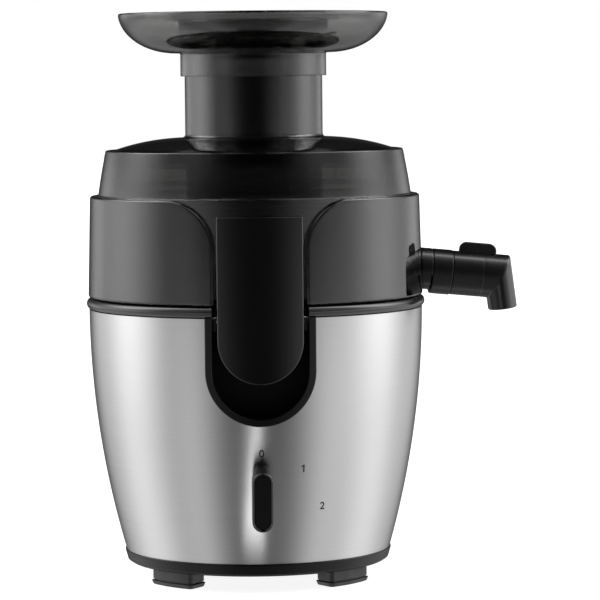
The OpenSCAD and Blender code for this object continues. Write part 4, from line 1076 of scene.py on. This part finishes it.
def control_knob():
    """Black bar knob: a waisted skirt, a rounded rim and a matt face sunk inside it."""
    bar = stadium(KNOB_L / 2, KNOB_W / 2, 20)
    sunk = 1.6
    skirt = [(1.6, 0.6), (1.0, 0.75), (0.8, 1.2), (0.6, 12.4), (0.55, 12.9), (0.1, 13.3), (0, 13.9)]
    rim = [(0, 20.0), (0.12, 20.5), (0.4, 20.85), (0.75, 21.0), (1.1, 20.85), (sunk, 20.2),
           (sunk + 0.2, 19.9)]
    face = [(0, 19.0), (0, 20.2), (0.3, 20.4), (1.4, 20.5)]
    place = on_barrel(0, KNOB_Z)
    knob = new_piece("bar_knob", slab(bmesh.new(), bar, skirt + rim, as_is), place)
    dress(knob, "knob", BLACK, "black_plastic", "control_knob")
    inlay = new_piece("knob_face", slab(bmesh.new(), inset(bar, sunk + 0.1), face, as_is), place)
    dress(inlay, "knob", MATT, "black_plastic")


# Studio


def studio_world():
    """Soft boxes left and right, a dark gap in front, and a white backdrop.

    The light differs in four bands of height: level with the object, a glow just below that, overhead, and
    far below, where the floor throws it back."""
    world = bpy.data.worlds.new("studio")
    world.use_nodes = True
    bpy.context.scene.world = world
    tree = world.node_tree
    background = tree.nodes["Background"]
    direction = tree.nodes.new("ShaderNodeTexCoord").outputs["Generated"]
    split = tree.nodes.new("ShaderNodeSeparateXYZ")
    tree.links.new(direction, split.inputs["Vector"])
    x, y, z = split.outputs
    azimuth = add_math(tree, "ARCTAN2", x, add_math(tree, "MULTIPLY", y, -1))

    def lobe(value, centre, width, strength):
        """A soft bump of strength round a centre."""
        away = add_math(tree, "DIVIDE", add_math(tree, "SUBTRACT", value, centre), width)
        fall = add_math(tree, "MULTIPLY", add_math(tree, "MULTIPLY", away, away), -1)
        return add_math(tree, "MULTIPLY", add_math(tree, "EXPONENT", fall), strength)

    def ramp(value, low, high):
        """A smooth rise from 0 to 1 between two limits."""
        made = add_node(tree, "ShaderNodeMapRange", interpolation_type="SMOOTHSTEP")
        made.inputs["From Min"].default_value = low
        made.inputs["From Max"].default_value = high
        tree.links.new(value, made.inputs["Value"])
        return made.outputs["Result"]

    def around(boxes, base):
        """Sum of soft boxes (azimuth, width, strength) over a base level."""
        light = base
        for centre, width, strength in boxes:
            box = lobe(azimuth, math.radians(centre), math.radians(width), strength)
            light = add_math(tree, "ADD", box, light)
        return light

    sides = [(-100, 28, 2.8), (94, 26, 2.75), (-140, 16, 0.9), (140, 16, 0.9)]
    level = around(sides + [(-52, 13, 0.36), (52, 13, 0.28), (26, 10, 0.08)], 0.03)
    glow = around([(-42, 18, 1.25), (-78, 14, 0.45), (42, 18, 1.35), (68, 18, 1.2), (128, 16, 0.5)], 0.0)
    overhead = around([(-107, 25, 5.8), (103, 23, 5.8), (-52, 18, 0.7), (52, 18, 0.8)], 0.02)
    bounce = around([(-110, 38, 1.2), (106, 36, 1.2), (-52, 17, 0.62), (54, 17, 0.62)], 0.24)
    light = add_math(tree, "MULTIPLY", level, lobe(z, 0.0, 0.2, 1.0))
    below, above, far_below = lobe(z, -0.15, 0.12, 1.0), ramp(z, 0.1, 0.5), ramp(z, -0.12, -0.4)
    for band, share in ((glow, below), (overhead, above), (bounce, far_below)):
        light = add_math(tree, "ADD", light, add_math(tree, "MULTIPLY", band, share))

    path = tree.nodes.new("ShaderNodeLightPath")
    seen = add_math(tree, "MAXIMUM", path.outputs["Is Camera Ray"], path.outputs["Is Transmission Ray"])
    mix = add_node(tree, "ShaderNodeMix", data_type="FLOAT")
    tree.links.new(seen, mix.inputs["Factor"])
    tree.links.new(light, mix.inputs["A"])
    mix.inputs["B"].default_value = 1.0
    tree.links.new(mix.outputs["Result"], background.inputs["Strength"])
    background.inputs["Color"].default_value = (1, 1, 1, 1)


def studio_floor():
    """A wide pale floor. Gloss on the object shows the soft boxes and not the floor."""
    shader = Shader("pale_floor")
    shader.tint(shader.noise(3, detail=1.0), grey(0.34), grey(0.36))
    shader.set(Roughness=0.9, Specular_IOR_Level=0.0, Emission_Color=(1, 1, 1, 1), Emission_Strength=0.9)
    bm = bmesh.new()
    bmesh.ops.create_grid(bm, x_segments=8, y_segments=8, size=9000)
    floor = new_piece("floor", bm)
    floor.data.materials.append(shader.material)
    floor.visible_glossy = False


def front_card(steel):
    """A narrow strip of light that lies in front of the juicer and lights only its steel."""
    data = bpy.data.lights.new("front_card", "AREA")
    data.shape = "RECTANGLE"
    data.size, data.size_y = 0.028, 0.3
    data.energy = 0.08
    card = bpy.data.objects.new("front_card", data)
    bpy.context.scene.collection.objects.link(card)
    card.matrix_world = Matrix.Translation((-0.009, -0.27, 0.004)) @ Matrix.Rotation(math.pi, 4, "X")
    card.visible_camera = False
    card.visible_diffuse = False
    card.visible_transmission = False
    lit = bpy.data.collections.new("lit_by_front_card")
    lit.objects.link(steel)
    card.light_linking.receiver_collection = lit


def studio_camera():
    """A long lens a little above the lid, just left of the front and a touch out of level."""
    azimuth, distance, eye_z = math.radians(-1.5), 1.9, 0.297
    aim_right, aim_z, roll = 0.026, 0.1615, 0.55
    data = bpy.data.cameras.new("camera")
    data.sensor_width = 36
    data.lens = 194.5
    data.clip_start, data.clip_end = 0.1, 100
    camera = bpy.data.objects.new("camera", data)
    bpy.context.scene.collection.objects.link(camera)
    camera.location = (distance * math.sin(azimuth), -distance * math.cos(azimuth), eye_z)
    target = Vector((aim_right * math.cos(azimuth), aim_right * math.sin(azimuth), aim_z))
    look = (target - camera.location).to_track_quat("-Z", "Y").to_matrix().to_4x4()
    camera.matrix_world = Matrix.Translation(camera.location) @ look @ about_z(-roll)
    bpy.context.scene.camera = camera


bpy.context.scene.view_settings.view_transform = "Standard"
studio_camera()
studio_world()
studio_floor()
finish_cad_nodes()
front_card(steel_barrel())
seam_ring()
recess_frame()
bottom_ring()
feet()
cord_gland()
dial_marks()
container()
spout_pipe()
spout_collar()
spout_elbow()
lid()
tray()
pusher()
lock_lever()
control_knob()
